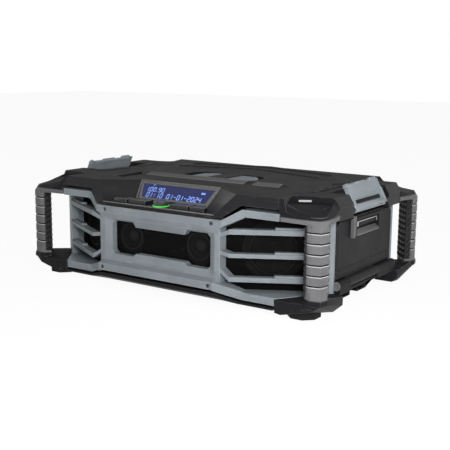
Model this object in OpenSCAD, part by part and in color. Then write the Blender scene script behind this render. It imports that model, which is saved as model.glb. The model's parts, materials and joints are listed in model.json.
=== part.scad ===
/* [Body] */
// Width of the body between its flat side walls
body_w = 530; // [515:1:545]
// Depth of the body between the outer faces of its front and rear bands
body_d = 341; // [335:1:347]
// Height of the lid top above the floor
lid_top = 170.5; // [169:0.5:174]
// Wall thickness of the moulded shells
wall = 3; // [2.4:0.1:3.6]
// Gap between neighbouring mouldings
gap = 0.3; // [0.2:0.05:0.4]
// Radial running clearance of a pin in its hole
run = 0.06; // [0.04:0.01:0.1]

/* [Corner guards] */
// Section of a corner post, measured across its two inner faces
post_w = 26; // [24:0.5:28]
// Reach of the post's side facet past the body's side wall
post_out = 18.2; // [17:0.2:20]
// Reach of the post's front facet past the body's front band
post_fwd = 3; // [2:0.2:5]
// Number of grooves round each post
groove_count = 6; // [4:1:8]
// Depth of a groove
groove_d = 1.2; // [0.6:0.1:1.6]

/* [Feet] */
// Height of a foot below the corner base
foot_h = 5; // [4:0.5:7]
// Radius of a foot, over its corners
foot_r = 25; // [20:1:26]

/* [Grille] */
// Height of the outer part of the lower band
low_band_h = 11.5; // [10:0.5:13]
// Height of the outer part of the upper band
top_band_h = 10.9; // [9:0.5:12]
// Half width of the centre window
win_x = 97; // [92:1:100]
// Depth of a slat from its face to its back
slat_d = 13; // [11:0.5:16]

/* [Speakers] */
// Radius of the woofer cone behind the slats
woofer_r = 40; // [36:1:42]
// Radius of the small driver cone behind the window
driver_r = 27; // [23:1:28]

/* [Controls] */
// Diameter of the volume knob
knob_d = 24; // [21:0.5:25]
// Height of the volume knob above its light ring
knob_h = 6.5; // [5.5:0.5:9]
// Height of a key above the shelf
key_h = 4.5; // [3.5:0.1:5.5]
// Travel of a key
key_travel = 1.2; // [0.8:0.1:1.5]

/* [Latches and door] */
// Half width of a side latch
latch_hw = 56; // [50:1:58]
// Thickness of a side latch
latch_t = 5; // [4:0.5:6]
// Set-back of the battery door's ends from the ends of its hinge
door_in = 2; // [1.5:0.5:8]
// Outer radius of the door hinge barrel
barrel_r = 7; // [6:0.25:8]
// Radius of the door hinge pin
door_pin_r = 2; // [1.5:0.25:2.5]
// Radius of the side latch pin
latch_pin_r = 1.6; // [1.4:0.1:2]

/* [Hidden] */
$fn = 48;
over = 1;
hx = body_w / 2;
hy = body_d / 2;

// Levels above the floor
plate_z = foot_h;
tray_rise = 4;
floor_z = foot_h + tray_rise;
floor_t = 3;
cab_z = floor_z + floor_t;
rim_h = 14.5;
rim_z = lid_top - rim_h;
seal_t = 2;
cab_top = rim_z - seal_t;

// Bands and window frame of the grille
frame_fwd = 11.5;
frame_y = hy + frame_fwd;
frame_t = 17;
frame_back_y = frame_y - frame_t;
frame_side_w = 21;
frame_hw = win_x + frame_side_w;
kink_step = 4;
kink_in_x = frame_hw + kink_step;
kink_w = 27;
kink_out_x = kink_in_x + kink_w;
kink_run = 5;
low_kink_in = 5;
low_kink_in_x = frame_hw - low_kink_in;
band_step = 4;
band_mid_y = frame_y + band_step;
low_step = 11.5;
low_mid_y = frame_y + low_step;
low_rise = 3.1;
low_z = cab_z + low_rise;
low_top = low_z + low_band_h;
low_mid_rise = 13.6;
low_mid_z = low_z + low_mid_rise;
low_mid_top = low_mid_z + low_band_h;
top_drop = 16.6;
top_z = rim_z - top_drop;
top_end = top_z + top_band_h;
top_mid_drop = 17.9;
top_mid_z = top_z - top_mid_drop;
top_mid_h = 12;
top_mid_end = top_mid_z + top_mid_h;
top_end_out = 54;
low_end_out = 59;
frame_low_z = low_mid_top;
frame_end_z = top_mid_z;
win_sill = 14.3;
win_low = frame_low_z + win_sill;
win_head = 12;
win_high = frame_end_z - win_head;
win_cut = 6;
win_bevel = 11;
win_bevel_d = 6;
tongue_x = win_x / 2;
tongue_run = 5.2;
tongue_foot_x = tongue_x + tongue_run;
tongue_h = 7.5;
low_tongue_h = 4.8;
shelf_plate = 4.6;
screw_r = 3;
screw_hole_r = 3.4;
screw_deep = 3;
screw_rim = 0.5;
screw_in = 13.5;
screw_x = frame_hw - screw_in;

// Slats and outer posts of the grille
slat_in = 16.7;
slat_in_x = frame_hw + slat_in;
slat_step = 0.5;
slat_y = frame_y + slat_step;
post_a_in = 23;
post_a_x = hx - post_a_in;
post_a_back = 47.5;
post_a_y = hy - post_a_back;
post_turn = 20;
post_b_y = post_a_y - post_turn;
post_wide = 4;
post_return = 4;
slat_low_shares = [0.773, 0.4645, 0.1436];
slat_high_shares = [0.8422, 0.5186, 0.2066];
slat_tip_shares = [0.7473, 0.5142, 0.273];
tip_h = 3;
tip_lap = 0.5;
tip_x = frame_hw + tip_lap;
ridge_share = 0.55;
ridge_h = 3;

// Cabinet
cab_mid_y = frame_back_y - gap;
cab_mid_x = frame_hw + over;
cab_turn_out = 30;
cab_turn_x = hx - cab_turn_out;
slat_slope = (slat_y - post_a_y) / (post_a_x - slat_in_x);
slat_len = sqrt(1 + slat_slope * slat_slope);
slat_angle = atan(slat_slope);
cab_turn_y = cab_mid_y - (cab_turn_x - cab_mid_x) * slat_slope;
cab_side_in = 3.3;
cab_side_x = hx - cab_side_in;
cab_side_back = 5;
cab_side_y = post_b_y - cab_side_back;

// Lid outline
bevel_in = 9.5;
seam_out = 59.8;
seam_low_out = 54;
seam_x = hx - seam_out;
seam_low_x = hx - seam_low_out;
notch_y_in = 45;
notch_b_x_out = 54.5;
notch_b_y_in = 55;
notch_c_x_out = 33;
side_y_in = 62.2;
side_y = hy - side_y_in;
lid_side_out = 11;
bevel_side_in = 9;
lid_side_x = hx + lid_side_out;
bay_clear = 6.3;
bay_y = latch_hw + bay_clear;

// Brow over the controls
brow_step = 1.6;
brow_out_x = kink_out_x - brow_step;
brow_lap = 0.4;
brow_low_x = kink_in_x - brow_lap;
brow_top_in = 14.6;
brow_top_x = brow_out_x - brow_top_in;
brow_lip_in = 12.4;
brow_lip_x = brow_low_x - brow_lip_in;
slot_end_in = 18;
slot_end_x = brow_lip_x - slot_end_in;
brow_fwd = 14.6;
brow_y = hy + brow_fwd;
brow_drop = 19.2;
brow_z = rim_z - brow_drop;
lip_h = 3.8;
lip_z = brow_z + lip_h;
shelf_rise = 2.3;
shelf_z = lip_z + shelf_rise;
shelf_t = 3;
shelf_side_in = 32.1;
disp_top_x = brow_lip_x - shelf_side_in;
disp_flare = 8;
shelf_back_x = disp_top_x - disp_flare;
shelf_deep = 37.8;
shelf_back_y = brow_y - shelf_deep;
disp_lean = 25.2;
disp_top_y = shelf_back_y - disp_lean;

// Posts and guards
post_in_x = hx + post_out - post_w;
post_out_x = hx + post_out;
post_out_y = hy + post_fwd;
post_dy = 0.5;
post_in_y = post_out_y - post_w - post_dy;
strip_back = 2.9;
grip_out = 6.8;
grip_back = 9.3;
post_a_run = 8.8;
ridge_in = 3.2;
facet_run = 17.7;
base_h = 21;
post_z0 = foot_h + base_h;
arm_drop = 16;
arm_z = rim_z - arm_drop;
post_z1 = arm_z;
groove_h = 1.5;
groove_low = 27.2;
groove_first = post_z0 + groove_low;
groove_top = 11.1;
groove_last = post_z1 - groove_top;
collar_h = 9.5;
collar_in = 4;
web_drop = 5;
web_z = rim_z - web_drop;
web_rise = 4.5;
web_high = rim_z + web_rise;
arm_in = 12.5;
stub_in = 2.8;
arm_start_x_out = 42.5;
arm_top_out = 51;
arm_top_y_in = 8.5;
arm_top_drop = 5.5;
base_top = post_z0 - over;
base_side_h = 11;
base_mid_z = foot_h + base_side_h;
base_cut_x = 47;
base_cut_y = 55;
base_side_y = cab_side_y + gap;
base_out = 15;
base_side_x = hx + base_out;
base_low_rise = 8;
base_low_z = plate_z + base_low_rise;
base_front_in = 4;
base_edge_z = low_top - over;
crest_rise = 8;
crest_z = base_edge_z + crest_rise;
web_lift = 1.4;
flare_rise = 5;
flare_h = 5;
flare_out = 1.5;
base_in = 24.5;
base_in_y = hy - base_in;
tray_end_x = hx - low_end_out;
base_edge_x = tray_end_x + gap;
foot_in_x = 25;
foot_in_y = 28;
foot_x = hx - foot_in_x;
foot_y = hy - foot_in_y;
foot_seat = 7;
foot_top = plate_z + foot_seat;
under_in = 25;
under_x = hx - under_in;

// Keys, knob and control board
knob_back = 13.6;
key_y = brow_y - knob_back;
key_d = 20;
key_out_in = 21.2;
key_out_x = brow_lip_x - key_out_in;
key_outer_w = 26;
key_split = 4;
key_mid_x = key_out_x - key_outer_w - key_split;
key_inner_w = 34;
key_in_x = key_mid_x - key_inner_w;
key_back_run = 11.5;
key_slant_share = 0.9;
key_gap = 0.4;
ring_over = 1.5;
ring_d = knob_d + 2 * ring_over;
ring_h = 1.4;
ring_z = lip_z + gap;
shaft_r = 3;
shaft_gap = 0.05;
knob_roof = 2;
board_t = 1.6;
board_drop = 2.7;
board_z = brow_z - board_drop;
board_hx = key_out_x + key_split;
board_y0 = brow_y - wall - over;
board_y1 = frame_back_y - 5 * wall;
encoder_w = 13;
encoder_h = 3.6;

// Display
disp_t = 3;
lens_t = 1.5;
disp_inset = 6;
disp_low_inset = 5;
disp_seat = 0.5;

// Side latches
latch_foot_x_out = 6.5;
latch_foot_x = hx + latch_foot_x_out;
latch_foot_drop = 11;
latch_foot_z = rim_z - latch_foot_drop;
latch_top_in = 9;
latch_top_x = hx - latch_top_in;
latch_rise = 12;
latch_top_z = lid_top + latch_rise;
latch_pin_out = 2.5;
latch_pin_x = hx + latch_pin_out;
latch_pin_rise = 2;
latch_pin_z = latch_foot_z + latch_pin_rise;
latch_lip = 6;
latch_lip_h = 4;
latch_knuckle = 3.6;
slot_hw_share = 0.75;
slot_hw = slot_hw_share * latch_hw;
slot_rise = 8;
slot_z = latch_foot_z + slot_rise;
slot_h = 10;
slot_d = 2.5;
lug_t = 5;
notch_top_in = 52;
notch_deep = 9;
cheek_x_in = 15;
lintel_drop = 23;
lintel_z = rim_z - lintel_drop;
lintel_h = 4.5;
lintel_out = 4;
skirt_drop = 19;
skirt_z = rim_z - skirt_drop;
skirt_t = 10;

// Stack locks
lock_in_x = 16;
lock_out_x = 73;
lock_hy = 32;
lock_cut = 17;
lock_deep = 8;
lock_len = 40;
lock_h = 6;
lock_cut_in = 12;

// Battery door
knuckle_over = 0.5;
knuckle_r = barrel_r + knuckle_over;
hinge_out = 3;
hinge_x = hx + hinge_out;
hinge_rise = 26.5;
hinge_z = cab_z + hinge_rise;
hinge_foot_z = hinge_z - knuckle_r - 2 * gap;
house_t = 4.5;
under_z = hinge_foot_z - house_t;
ledge_z = under_z + wall;
rib_drop = 7.5;
rib_t = 1.6;
rib_shares = [[-0.88, -0.61], [-0.36, -0.05]];
door_z = hinge_z + knuckle_r;
door_top = lintel_z - over;
door_t = 3;
barrel_end = cab_side_y;
door_hw = barrel_end - door_in;
door_cut = 6;
bay_side_in = 24;
bay_hy = cab_side_y - bay_side_in;
bay_rise = 4;
bay_z0 = door_z + bay_rise;
bay_h = 46;
bay_z1 = bay_z0 + bay_h;
bay_len = 90;
liner_t = 2.5;
pull_shares = [-0.3, 0.46];
pull_y0 = pull_shares[0] * door_hw;
pull_y1 = pull_shares[1] * door_hw;
knuckle_shares = [-0.64, 0.34];
knuckle_y0 = knuckle_shares[0] * barrel_end;
knuckle_y1 = knuckle_shares[1] * barrel_end;
pull_h = 21;
pull_z0 = door_top - pull_h;
pull_deep = 11;
pull_floor = 3;
pull_foot = 6;
pull_out = 3;
pull_rim = 7;
pull_side = 12;
pull_in_x = 4;
pull_pin_r = 1.25;
pull_eye_r = 3;
pull_clear = 0.8;
pull_x = hx - pull_in_x;
pull_pin_z = door_top - wall - over - pull_eye_r - gap;
bail_w = 3;
bail_t = 1.5;
contact_w = 60;
contact_h = 40;
contact_t = 12;
blade_t = 1.5;
blade_w = 6;
blade_len = 10;
blade_step = 12;
blade_places = [-1.5, -0.5, 0.5, 1.5];

// Speaker places
woofer_shift = 3;
woofer_x = (cab_mid_x + cab_turn_x) / 2 + woofer_shift;
woofer_rise = 2.5;
woofer_z = (low_top + top_z) / 2 + woofer_rise;
driver_in = 30;
driver_x = win_x - driver_in;
driver_z = (win_low + win_high) / 2;
surround_w = 6;
rim_w = 5;
rim_t = 3;
basket_d = 28;
basket_foot_r = 24;
magnet_r = 30;
magnet_t = 14;
cone_deep = 12;
cap_r = 13;
cone_t = 1.2;
driver_rim_w = 4;
driver_basket_d = 18;
driver_magnet_r = 18;
driver_magnet_t = 9;
driver_cone_deep = 8;
driver_cap_r = 9;

// Lid top details
ridge_x = 132;
ridge_tip = 15;
ridge_front_y = 66;
ridge_crest_y = 52;
ridge_back_y = 30;
ridge_rise = 3.6;
ridge_gap_x0 = 82;
ridge_gap_x1 = 99;
deck_rise = 2;
deck_w = 10;
deck_a_in = 55.5;
deck_a_run = 44;
deck_b_in = 21.5;
deck_b_run = 32;
deck_x = 147;
wedge_shares = [[0.558, 0.645], [0.564, 0.232], [0.467, 0.391], [0.458, 0.685]];
wedge_deep = 4;

// Inner boards and vents
main_w = 150;
main_d = 110;
main_y = 60;
main_rise = 10;
main_z = cab_z + main_rise;
standoff_r = 3.5;
sink_w = 60;
sink_d = 30;
sink_h = 22;
fin_count = 8;
fin_t = 2;
fin_base = 4;
vent_slots = 7;
vent_slot_h = 3;
vent_step = 7;
vent_hx = 40;
bar_r = 2.5;

// Outline helpers
function flip(pts) = [for (i = [len(pts) - 1:-1:0]) [-pts[i][0], pts[i][1]]];
function both(pts) = concat(pts, flip(pts));
function slat_z(share) = low_top + share * (top_z - low_top);
function slat_front(x) = -slat_y + (x - slat_in_x) * slat_slope;
function cab_front(x) = -cab_mid_y + (x - cab_mid_x) * slat_slope;

module slab(pts, z0, z1) translate([0, 0, z0]) linear_extrude(z1 - z0) polygon(pts);
module face(pts, y0, y1) translate([0, y1, 0]) rotate([90, 0, 0]) linear_extrude(y1 - y0) polygon(pts);
module side(pts, x0, x1) translate([x0, 0, 0]) rotate([90, 0, 90]) linear_extrude(x1 - x0) polygon(pts);
module block(a, b) translate(a) cube(b - a);
module solid(pts) hull() polyhedron(points = pts, faces = [[for (i = [0:1:len(pts) - 1]) i]]);
module rear() mirror([0, 1, 0]) children();
module left() mirror([1, 0, 0]) children();

// Outline of the cabinet, inset by d, as a closed loop
function face_in(a) = [-sin(a), -cos(a)];
function inward(a, b, d) = (face_in(a) + face_in(b)) * d / (1 + face_in(a) * face_in(b));
turn_angle = atan((cab_turn_y - cab_side_y) / (cab_side_x - cab_turn_x));
function cab_quarter(d) = [[cab_mid_x, cab_mid_y] + inward(0, slat_angle, d),
    [cab_turn_x, cab_turn_y] + inward(slat_angle, turn_angle, d),
    [cab_side_x, cab_side_y] + inward(turn_angle, 90, d)];
function mirrored(q) = concat(
    [for (p = q) [p[0], -p[1]]],
    [for (i = [len(q) - 1:-1:0]) [q[i][0], q[i][1]]],
    [for (p = q) [-p[0], p[1]]],
    [for (i = [len(q) - 1:-1:0]) [-q[i][0], -q[i][1]]]);
module cab_plan(d) polygon(mirrored(cab_quarter(d)));

module speaker_place(x, z, turned)
    translate([x, turned ? cab_front(abs(x)) : -cab_mid_y, z])
        rotate([0, 0, turned ? sign(x) * slat_angle : 0]) rotate([90, 0, 0]) children();

module speaker_hole(r, turned, x, z)
    speaker_place(x, z, turned) translate([0, 0, -2 * wall]) cylinder(r = r, h = 4 * wall);

// Base tray: floor, sloped front and rear lips, hinge knuckles for the door
function tray_quarter() = [[tray_end_x, hy - base_front_in], [tray_end_x, base_in_y],
    [under_x, cab_side_y]];
module tray_lip() {
    tray_back = frame_back_y;
    side([[-tray_back, floor_z], [-hy - gap, floor_z], [-low_mid_y + 2 * wall, floor_z + 2 * tray_rise],
        [-low_mid_y + 2 * wall, low_mid_z - 2 * wall], [-tray_back, low_mid_z - 2 * wall]],
        -low_kink_in_x, low_kink_in_x);
    for (s = [-1, 1])
        solid([[s * low_kink_in_x, -tray_back, floor_z], [s * low_kink_in_x, -hy - gap, floor_z],
            [s * low_kink_in_x, -low_mid_y + 2 * wall, floor_z + 2 * tray_rise],
            [s * low_kink_in_x, -low_mid_y + 2 * wall, low_mid_z - 2 * wall],
            [s * low_kink_in_x, -tray_back, low_mid_z - 2 * wall],
            [s * kink_out_x, -tray_back, floor_z], [s * kink_out_x, -hy - base_front_in, floor_z],
            [s * kink_out_x, -hy - base_front_in, cab_z], [s * kink_out_x, -tray_back, cab_z]]);
}
module tray_rim() for (s = [-1, 1])
    block([s > 0 ? kink_out_x : -tray_end_x, -hy - base_front_in, floor_z],
        [s > 0 ? tray_end_x : -kink_out_x, -hy + base_front_in + over, cab_z]);
// Sloped side that carries the cabinet wall on a ledge, closed at both ends
module tray_side() {
    face([[under_x - over, floor_z], [under_x, floor_z], [hx, under_z], [hx, ledge_z],
        [cab_side_x - wall - over, ledge_z], [under_x - over, cab_z]], -cab_side_y, cab_side_y);
    for (k = [0, 1]) mirror([0, k, 0])
        face([[under_x - wall, floor_z], [under_x, floor_z], [hx, under_z], [hx, ledge_z],
            [under_x - wall, ledge_z]], cab_side_y - wall, cab_side_y);
}
// Open rib pocket under the hinge
module rib_pocket(y0, y1) {
    z0 = under_z - rib_drop;
    x1 = hinge_x + barrel_r - wall;
    block([cab_side_x - rib_t, y0, z0], [cab_side_x, y1, under_z + over]);
    block([cab_side_x - over, y0, z0], [x1, y1, z0 + rib_t]);
    block([cab_side_x - over, y1 - rib_t, z0], [x1, y1, under_z + over]);
    block([x1 - rib_t, y0, z0], [x1, y0 + rib_t, under_z + over]);
}
module base_tray() color([0.22, 0.22, 0.23]) {
    difference() {
        union() {
            slab(mirrored(tray_quarter()), floor_z, cab_z);
            tray_lip();
            rear() tray_lip();
            tray_rim();
            rear() tray_rim();
            tray_side();
            left() tray_side();
            for (q = rib_shares) rib_pocket(q[0] * barrel_end, q[1] * barrel_end);
            block([hx - over, -barrel_end, under_z], [hinge_x + barrel_r - wall, barrel_end, ledge_z]);
            block([hx + gap, -barrel_end, under_z], [hinge_x + barrel_r - wall, barrel_end, hinge_foot_z]);
            for (y = [[-barrel_end, knuckle_y0 - gap], [knuckle_y1 + gap, barrel_end]]) {
                translate([hinge_x, y[1], hinge_z]) rotate([90, 0, 0]) cylinder(r = barrel_r,
                    h = y[1] - y[0]);
                block([hx + gap, y[0], under_z], [hinge_x + barrel_r - gap, y[1], hinge_z]);
            }
        }
        translate([hinge_x, barrel_end - wall, hinge_z]) rotate([90, 0, 0])
            cylinder(r = door_pin_r, h = 2 * barrel_end - 2 * wall);
    }
}

// Cabinet: upright walls with the speaker holes and the battery bay opening
module body_shell() color([0.09, 0.09, 0.1]) {
    difference() {
        translate([0, 0, cab_z]) linear_extrude(cab_top - cab_z) difference() {
            cab_plan(0);
            cab_plan(wall);
        }
        for (s = [-1, 1]) {
            speaker_hole(woofer_r + surround_w + gap, true, s * woofer_x, woofer_z);
            speaker_hole(driver_r + gap, false, s * driver_x, driver_z);
        }
        for (k = [0, 1]) mirror([k, 0, 0])
            block([under_x - wall, -cab_side_y - wall, cab_z - over], [cab_side_x + over,
                cab_side_y + wall, ledge_z]);
        block([cab_side_x - wall - over, -bay_hy, bay_z0], [cab_side_x + over, bay_hy, bay_z1]);
        block([cab_side_x - wall - over, pull_y0 - wall - 2 * gap, pull_z0 - wall - 2 * gap],
            [cab_side_x + over, pull_y1 + wall + 2 * gap, door_top - gap]);
        translate([hinge_x, barrel_end + over, hinge_z]) rotate([90, 0, 0])
            cylinder(r = knuckle_r + gap, h = 2 * (barrel_end + over));
        face(both([[brow_low_x + 2 * gap, brow_z - gap], [brow_out_x + 2 * gap, rim_z]]),
            -cab_mid_y - over, -shelf_back_y + 3 * wall);
        block([-board_hx - gap, -cab_mid_y - over, board_z - 2 * gap], [board_hx + gap,
            -cab_mid_y + wall + over, brow_z]);
    }
    block([cab_side_x - over, -bay_y, lintel_z], [hx + lintel_out, bay_y, lintel_z + lintel_h]);
}

// Lid: bevelled slab with the brow, the latch notches and the pockets
function lid_quarter() = [[seam_low_x, hy], [seam_x, hy - bevel_in],
    [seam_x, hy - notch_y_in], [hx - notch_b_x_out, hy - notch_b_y_in],
    [hx - notch_c_x_out, side_y], [lid_side_x, side_y]];
module lid_block() difference() {
    slab(mirrored(lid_quarter()), rim_z, lid_top);
    for (k = [0, 1]) mirror([0, k, 0])
        side([[-hy - over, rim_z], [-hy, rim_z], [-hy + bevel_in, lid_top], [-hy + bevel_in,
            lid_top + over],
            [-hy - over, lid_top + over]], -hx, hx);
    for (k = [0, 1]) mirror([k, 0, 0])
        face([[lid_side_x + over, rim_z], [lid_side_x, rim_z], [lid_side_x - bevel_side_in, lid_top],
            [lid_side_x - bevel_side_in, lid_top + over], [lid_side_x + over, lid_top + over]], -hy, hy);
}
module brow() {
    low_back = shelf_back_y - 2 * wall;
    high_back = disp_top_y - 2 * wall;
    top_y = hy - bevel_in;
    solid([for (s = [-1, 1]) each [
        [s * brow_top_x, -top_y, lid_top], [s * brow_out_x, -hy, rim_z],
        [s * brow_low_x, -brow_y, brow_z], [s * brow_lip_x, -brow_y, lip_z],
        [s * brow_low_x, -low_back, brow_z], [s * brow_out_x, -low_back, rim_z],
        [s * brow_top_x, -high_back, rim_z], [s * brow_top_x, -high_back, lid_top]]]);
    // Skirt behind the shadow slot, closed at both ends of the slot
    block([-brow_lip_x, -brow_y + wall / 2, top_mid_end + gap], [brow_lip_x, -brow_y + wall,
        brow_z + over]);
    for (k = [0, 1]) mirror([k, 0, 0])
        block([slot_end_x, -brow_y + gap, top_mid_end + gap], [brow_lip_x, -brow_y + wall, brow_z + over]);
}
module display_pocket()
    solid([for (s = [-1, 1]) each [
        [s * brow_lip_x, -brow_y, lip_z], [s * shelf_back_x, -shelf_back_y, shelf_z],
        [s * disp_top_x, -disp_top_y, lid_top], [s * brow_top_x, -hy + bevel_in, lid_top],
        [s * brow_lip_x, -brow_y - over, lip_z], [s * brow_top_x, -hy + bevel_in - over, lid_top + over],
        [s * disp_top_x, -disp_top_y, lid_top + over]]]);
module lock_pocket() {
    q = [[lock_in_x, -lock_hy], [lock_out_x - lock_cut, -lock_hy], [lock_out_x, -lock_hy + lock_cut],
        [lock_out_x, lock_hy - lock_cut], [lock_out_x - lock_cut, lock_hy], [lock_in_x, lock_hy]];
    slab(q, lid_top - lock_deep, lid_top + over);
}
module ridge_bar(x0, x1, tip) {
    solid([[x0, -ridge_front_y, lid_top], [x0, -ridge_crest_y, lid_top + ridge_rise], [x0,
        -ridge_back_y, lid_top],
        [x1, -ridge_front_y, lid_top], [x1, -ridge_crest_y, lid_top + ridge_rise], [x1, -ridge_back_y,
            lid_top],
        [x1 + tip, -ridge_crest_y, lid_top], [x0, -ridge_front_y, lid_top - over], [x1, -ridge_front_y,
            lid_top - over],
        [x0, -ridge_back_y, lid_top - over], [x1, -ridge_back_y, lid_top - over]]);
}
module deck_rib(y, run) for (k = [0, 1]) mirror([k, 0, 0])
    slab([[0, y - deck_w / 2], [deck_x, y - run - deck_w / 2], [deck_x, y - run], [0, y + deck_w / 2]],
        lid_top - over, lid_top + deck_rise);
module top_lid() color([0.27, 0.27, 0.27]) difference() {
    union() {
        lid_block();
        brow();
        for (k = [0, 1]) mirror([k, 0, 0]) for (j = [0, 1]) mirror([0, j, 0])
            block([hx + gap, bay_y, skirt_z], [hx + skirt_t, side_y, rim_z + over]);
        ridge_bar(-ridge_x + ridge_tip, ridge_gap_x0, 0);
        ridge_bar(ridge_gap_x1, ridge_x + ridge_tip, ridge_tip);
        deck_rib(hy - deck_a_in, deck_a_run);
        deck_rib(hy - deck_b_in, deck_b_run);
        for (k = [0, 1]) mirror([k, 0, 0]) for (j = [0, 1]) mirror([0, j, 0])
            block([latch_pin_x - latch_knuckle, bay_y - lug_t + gap, latch_pin_z - latch_knuckle],
                [hx + skirt_t, bay_y + over, rim_z]);
    }
    display_pocket();
    translate([0, 0, brow_z - over]) linear_extrude(lip_z - brow_z - shelf_t + over + shelf_rise)
        polygon([[-brow_lip_x + wall, -brow_y + wall], [brow_lip_x - wall, -brow_y + wall],
            [brow_lip_x - wall, -frame_back_y + 3 * wall], [-brow_lip_x + wall, -frame_back_y + 3 * wall]]);
    for (k = [0, 1]) mirror([k, 0, 0]) lock_pocket();
    slab([for (p = wedge_shares) [-p[0] * hx, -p[1] * hy]], lid_top - wedge_deep, lid_top + over);
    // Underside hollow
    translate([0, 0, rim_z - over]) linear_extrude(rim_h - 2 * wall + over) difference() {
        cab_plan(4 * wall);
        translate([-lock_out_x - wall, -lock_hy - wall]) square([2 * (lock_out_x + wall),
            2 * (lock_hy + wall)]);
        translate([-brow_top_x - wall, -hy]) square([2 * (brow_top_x + wall), hy - disp_top_y + 3 * wall]);
        translate([-wedge_shares[1][0] * hx - wall, -wedge_shares[3][1] * hy - wall])
            square([(wedge_shares[1][0] - wedge_shares[3][0]) * hx + 2 * wall,
                (wedge_shares[3][1] - wedge_shares[1][1]) * hy + 2 * wall]);
        for (s = [-1, 1]) translate([s > 0 ? hx - notch_top_in - wall : -hx, -bay_y - wall])
            square([notch_top_in + wall, 2 * (bay_y + wall)]);
    }
    // Latch notches
    for (k = [0, 1]) mirror([k, 0, 0]) {
        block([hx - cheek_x_in, -bay_y + lug_t, rim_z - over], [lid_side_x + over, bay_y - lug_t,
            lid_top + over]);
        block([hx - notch_top_in, -bay_y, lid_top - notch_deep], [lid_side_x + over, bay_y,
            lid_top + over]);
        block([hx - cheek_x_in, -bay_y, latch_pin_z + latch_knuckle + over], [lid_side_x + over, bay_y,
            lid_top + over]);
        translate([latch_pin_x, bay_y, latch_pin_z]) rotate([90, 0, 0])
            cylinder(r = latch_pin_r, h = 2 * bay_y);
    }
    // Holes for the keys, the knob shaft and the light ring seat
    for (k = [0, 1]) mirror([k, 0, 0]) {
        key_hole(key_in_x, key_mid_x, 0);
        key_hole(key_mid_x + key_split, key_out_x, key_back_run);
    }
    translate([0, -key_y, brow_z - over]) cylinder(r = 2 * shaft_r, h = knob_h + lip_h + over);
    translate([0, -key_y, ring_z]) cylinder(r = ring_d / 2 + gap, h = knob_h);
    // Seat of the display
    display_frame_cut();
}
function key_outline(x0, x1, cut, d) = [[x0 - d, -key_y - key_d / 2 - d], [x1 + d, -key_y - key_d / 2 - d],
    [x1 + d, -key_y + key_d / 2 - cut * key_slant_share + d], [x1 - cut + d, -key_y + key_d / 2 + d],
    [x0 - d, -key_y + key_d / 2 + d]];
module key_hole(x0, x1, cut) slab(key_outline(x0, x1, cut, key_gap), brow_z - over, shelf_z + over);

// Seal between the cabinet and the lid
module lid_seal() color([0.06, 0.06, 0.06]) difference() {
    translate([0, 0, cab_top]) linear_extrude(seal_t) difference() {
        cab_plan(0);
        cab_plan(wall);
    }
    block([-brow_lip_x - over, -cab_mid_y - over, cab_top - over], [brow_lip_x + over,
        -cab_mid_y + wall + over, rim_z + over]);
    block([-brow_out_x - over, -hy, cab_top - over], [brow_out_x + over, -shelf_back_y + 3 * wall,
        rim_z + over]);
}

// Grille: bands, window frame, slats and outer posts
function shelf_plan(end_x) = [[cab_mid_x, -frame_back_y], [kink_in_x, -frame_y], [kink_out_x, -hy],
    [end_x, -hy], [post_a_x, -post_a_y], [hx, -post_b_y],
    [hx, -cab_side_y - gap], [cab_turn_x, -cab_turn_y - gap]];
function top_shelf_plan(end_x) = [[kink_out_x, -hy], [end_x, -hy], [end_x, slat_front(end_x)],
    [post_a_x, -post_a_y], [hx, -post_b_y], [hx, -cab_side_y - gap], [cab_turn_x, -cab_turn_y - gap],
    [kink_out_x, cab_front(kink_out_x) - gap]];
module band_plan(mid_y, in_x, z0, z1, h) {
    out = [[in_x, -mid_y], [kink_out_x, -hy], [hx, -hy]];
    back = [[hx, -hy + arm_in], [kink_out_x, -hy + arm_in], [cab_mid_x, -frame_back_y]];
    slab(both(concat(out, back)), z0, z1);
}
module upper_band() intersection() {
    band_plan(band_mid_y, kink_in_x, top_mid_z - over, top_end + over);
    face(both([[kink_in_x - kink_run / 2, top_mid_z], [kink_out_x + kink_run, top_z],
        [hx - top_end_out, top_z], [hx - top_end_out, top_end], [kink_out_x, top_end],
        [kink_in_x, top_mid_end]]), -low_mid_y - over, 0);
}
module lower_band() intersection() {
    band_plan(low_mid_y, low_kink_in_x, low_z - over, low_mid_top + over);
    face(both([[low_kink_in_x - kink_run / 2, low_mid_z], [kink_out_x, low_z],
        [hx - low_end_out, low_z], [hx - low_end_out, low_top], [kink_out_x + kink_run, low_top],
        [low_kink_in_x, low_mid_top]]), -low_mid_y - over, 0);
}
function window_outline(grow) = [[win_x - win_cut + grow, win_low - grow],
    [win_x + grow, win_low - grow + win_cut], [win_x + grow, win_high + grow - win_cut],
    [win_x - win_cut + grow, win_high + grow]];
module window_cut() {
    face(both(window_outline(0)), -frame_y - over, -frame_back_y + over);
    hull() {
        face(both(window_outline(0)), -frame_y + win_bevel_d - gap, -frame_y + win_bevel_d);
        face(both(window_outline(win_bevel)), -frame_y - gap, -frame_y);
    }
}
module window_tongues() {
    for (t = [[win_high, -1, tongue_h], [win_low, 1, low_tongue_h]])
        solid([for (s = [-1, 1]) each [
            [s * tongue_foot_x, -frame_y + win_bevel_d, t[0]], [s * tongue_x, -frame_y + win_bevel_d,
                t[0] + t[1] * t[2]],
            [s * tongue_foot_x, -frame_y, t[0] - t[1] * win_bevel], [s * tongue_x, -frame_y,
                t[0] - t[1] * (win_bevel - t[2])],
            [s * tongue_foot_x, -frame_back_y, t[0] - t[1] * win_bevel], [s * tongue_x, -frame_back_y,
                t[0] + t[1] * t[2]],
            [s * tongue_foot_x, -frame_back_y, t[0]]]]);
}
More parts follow.
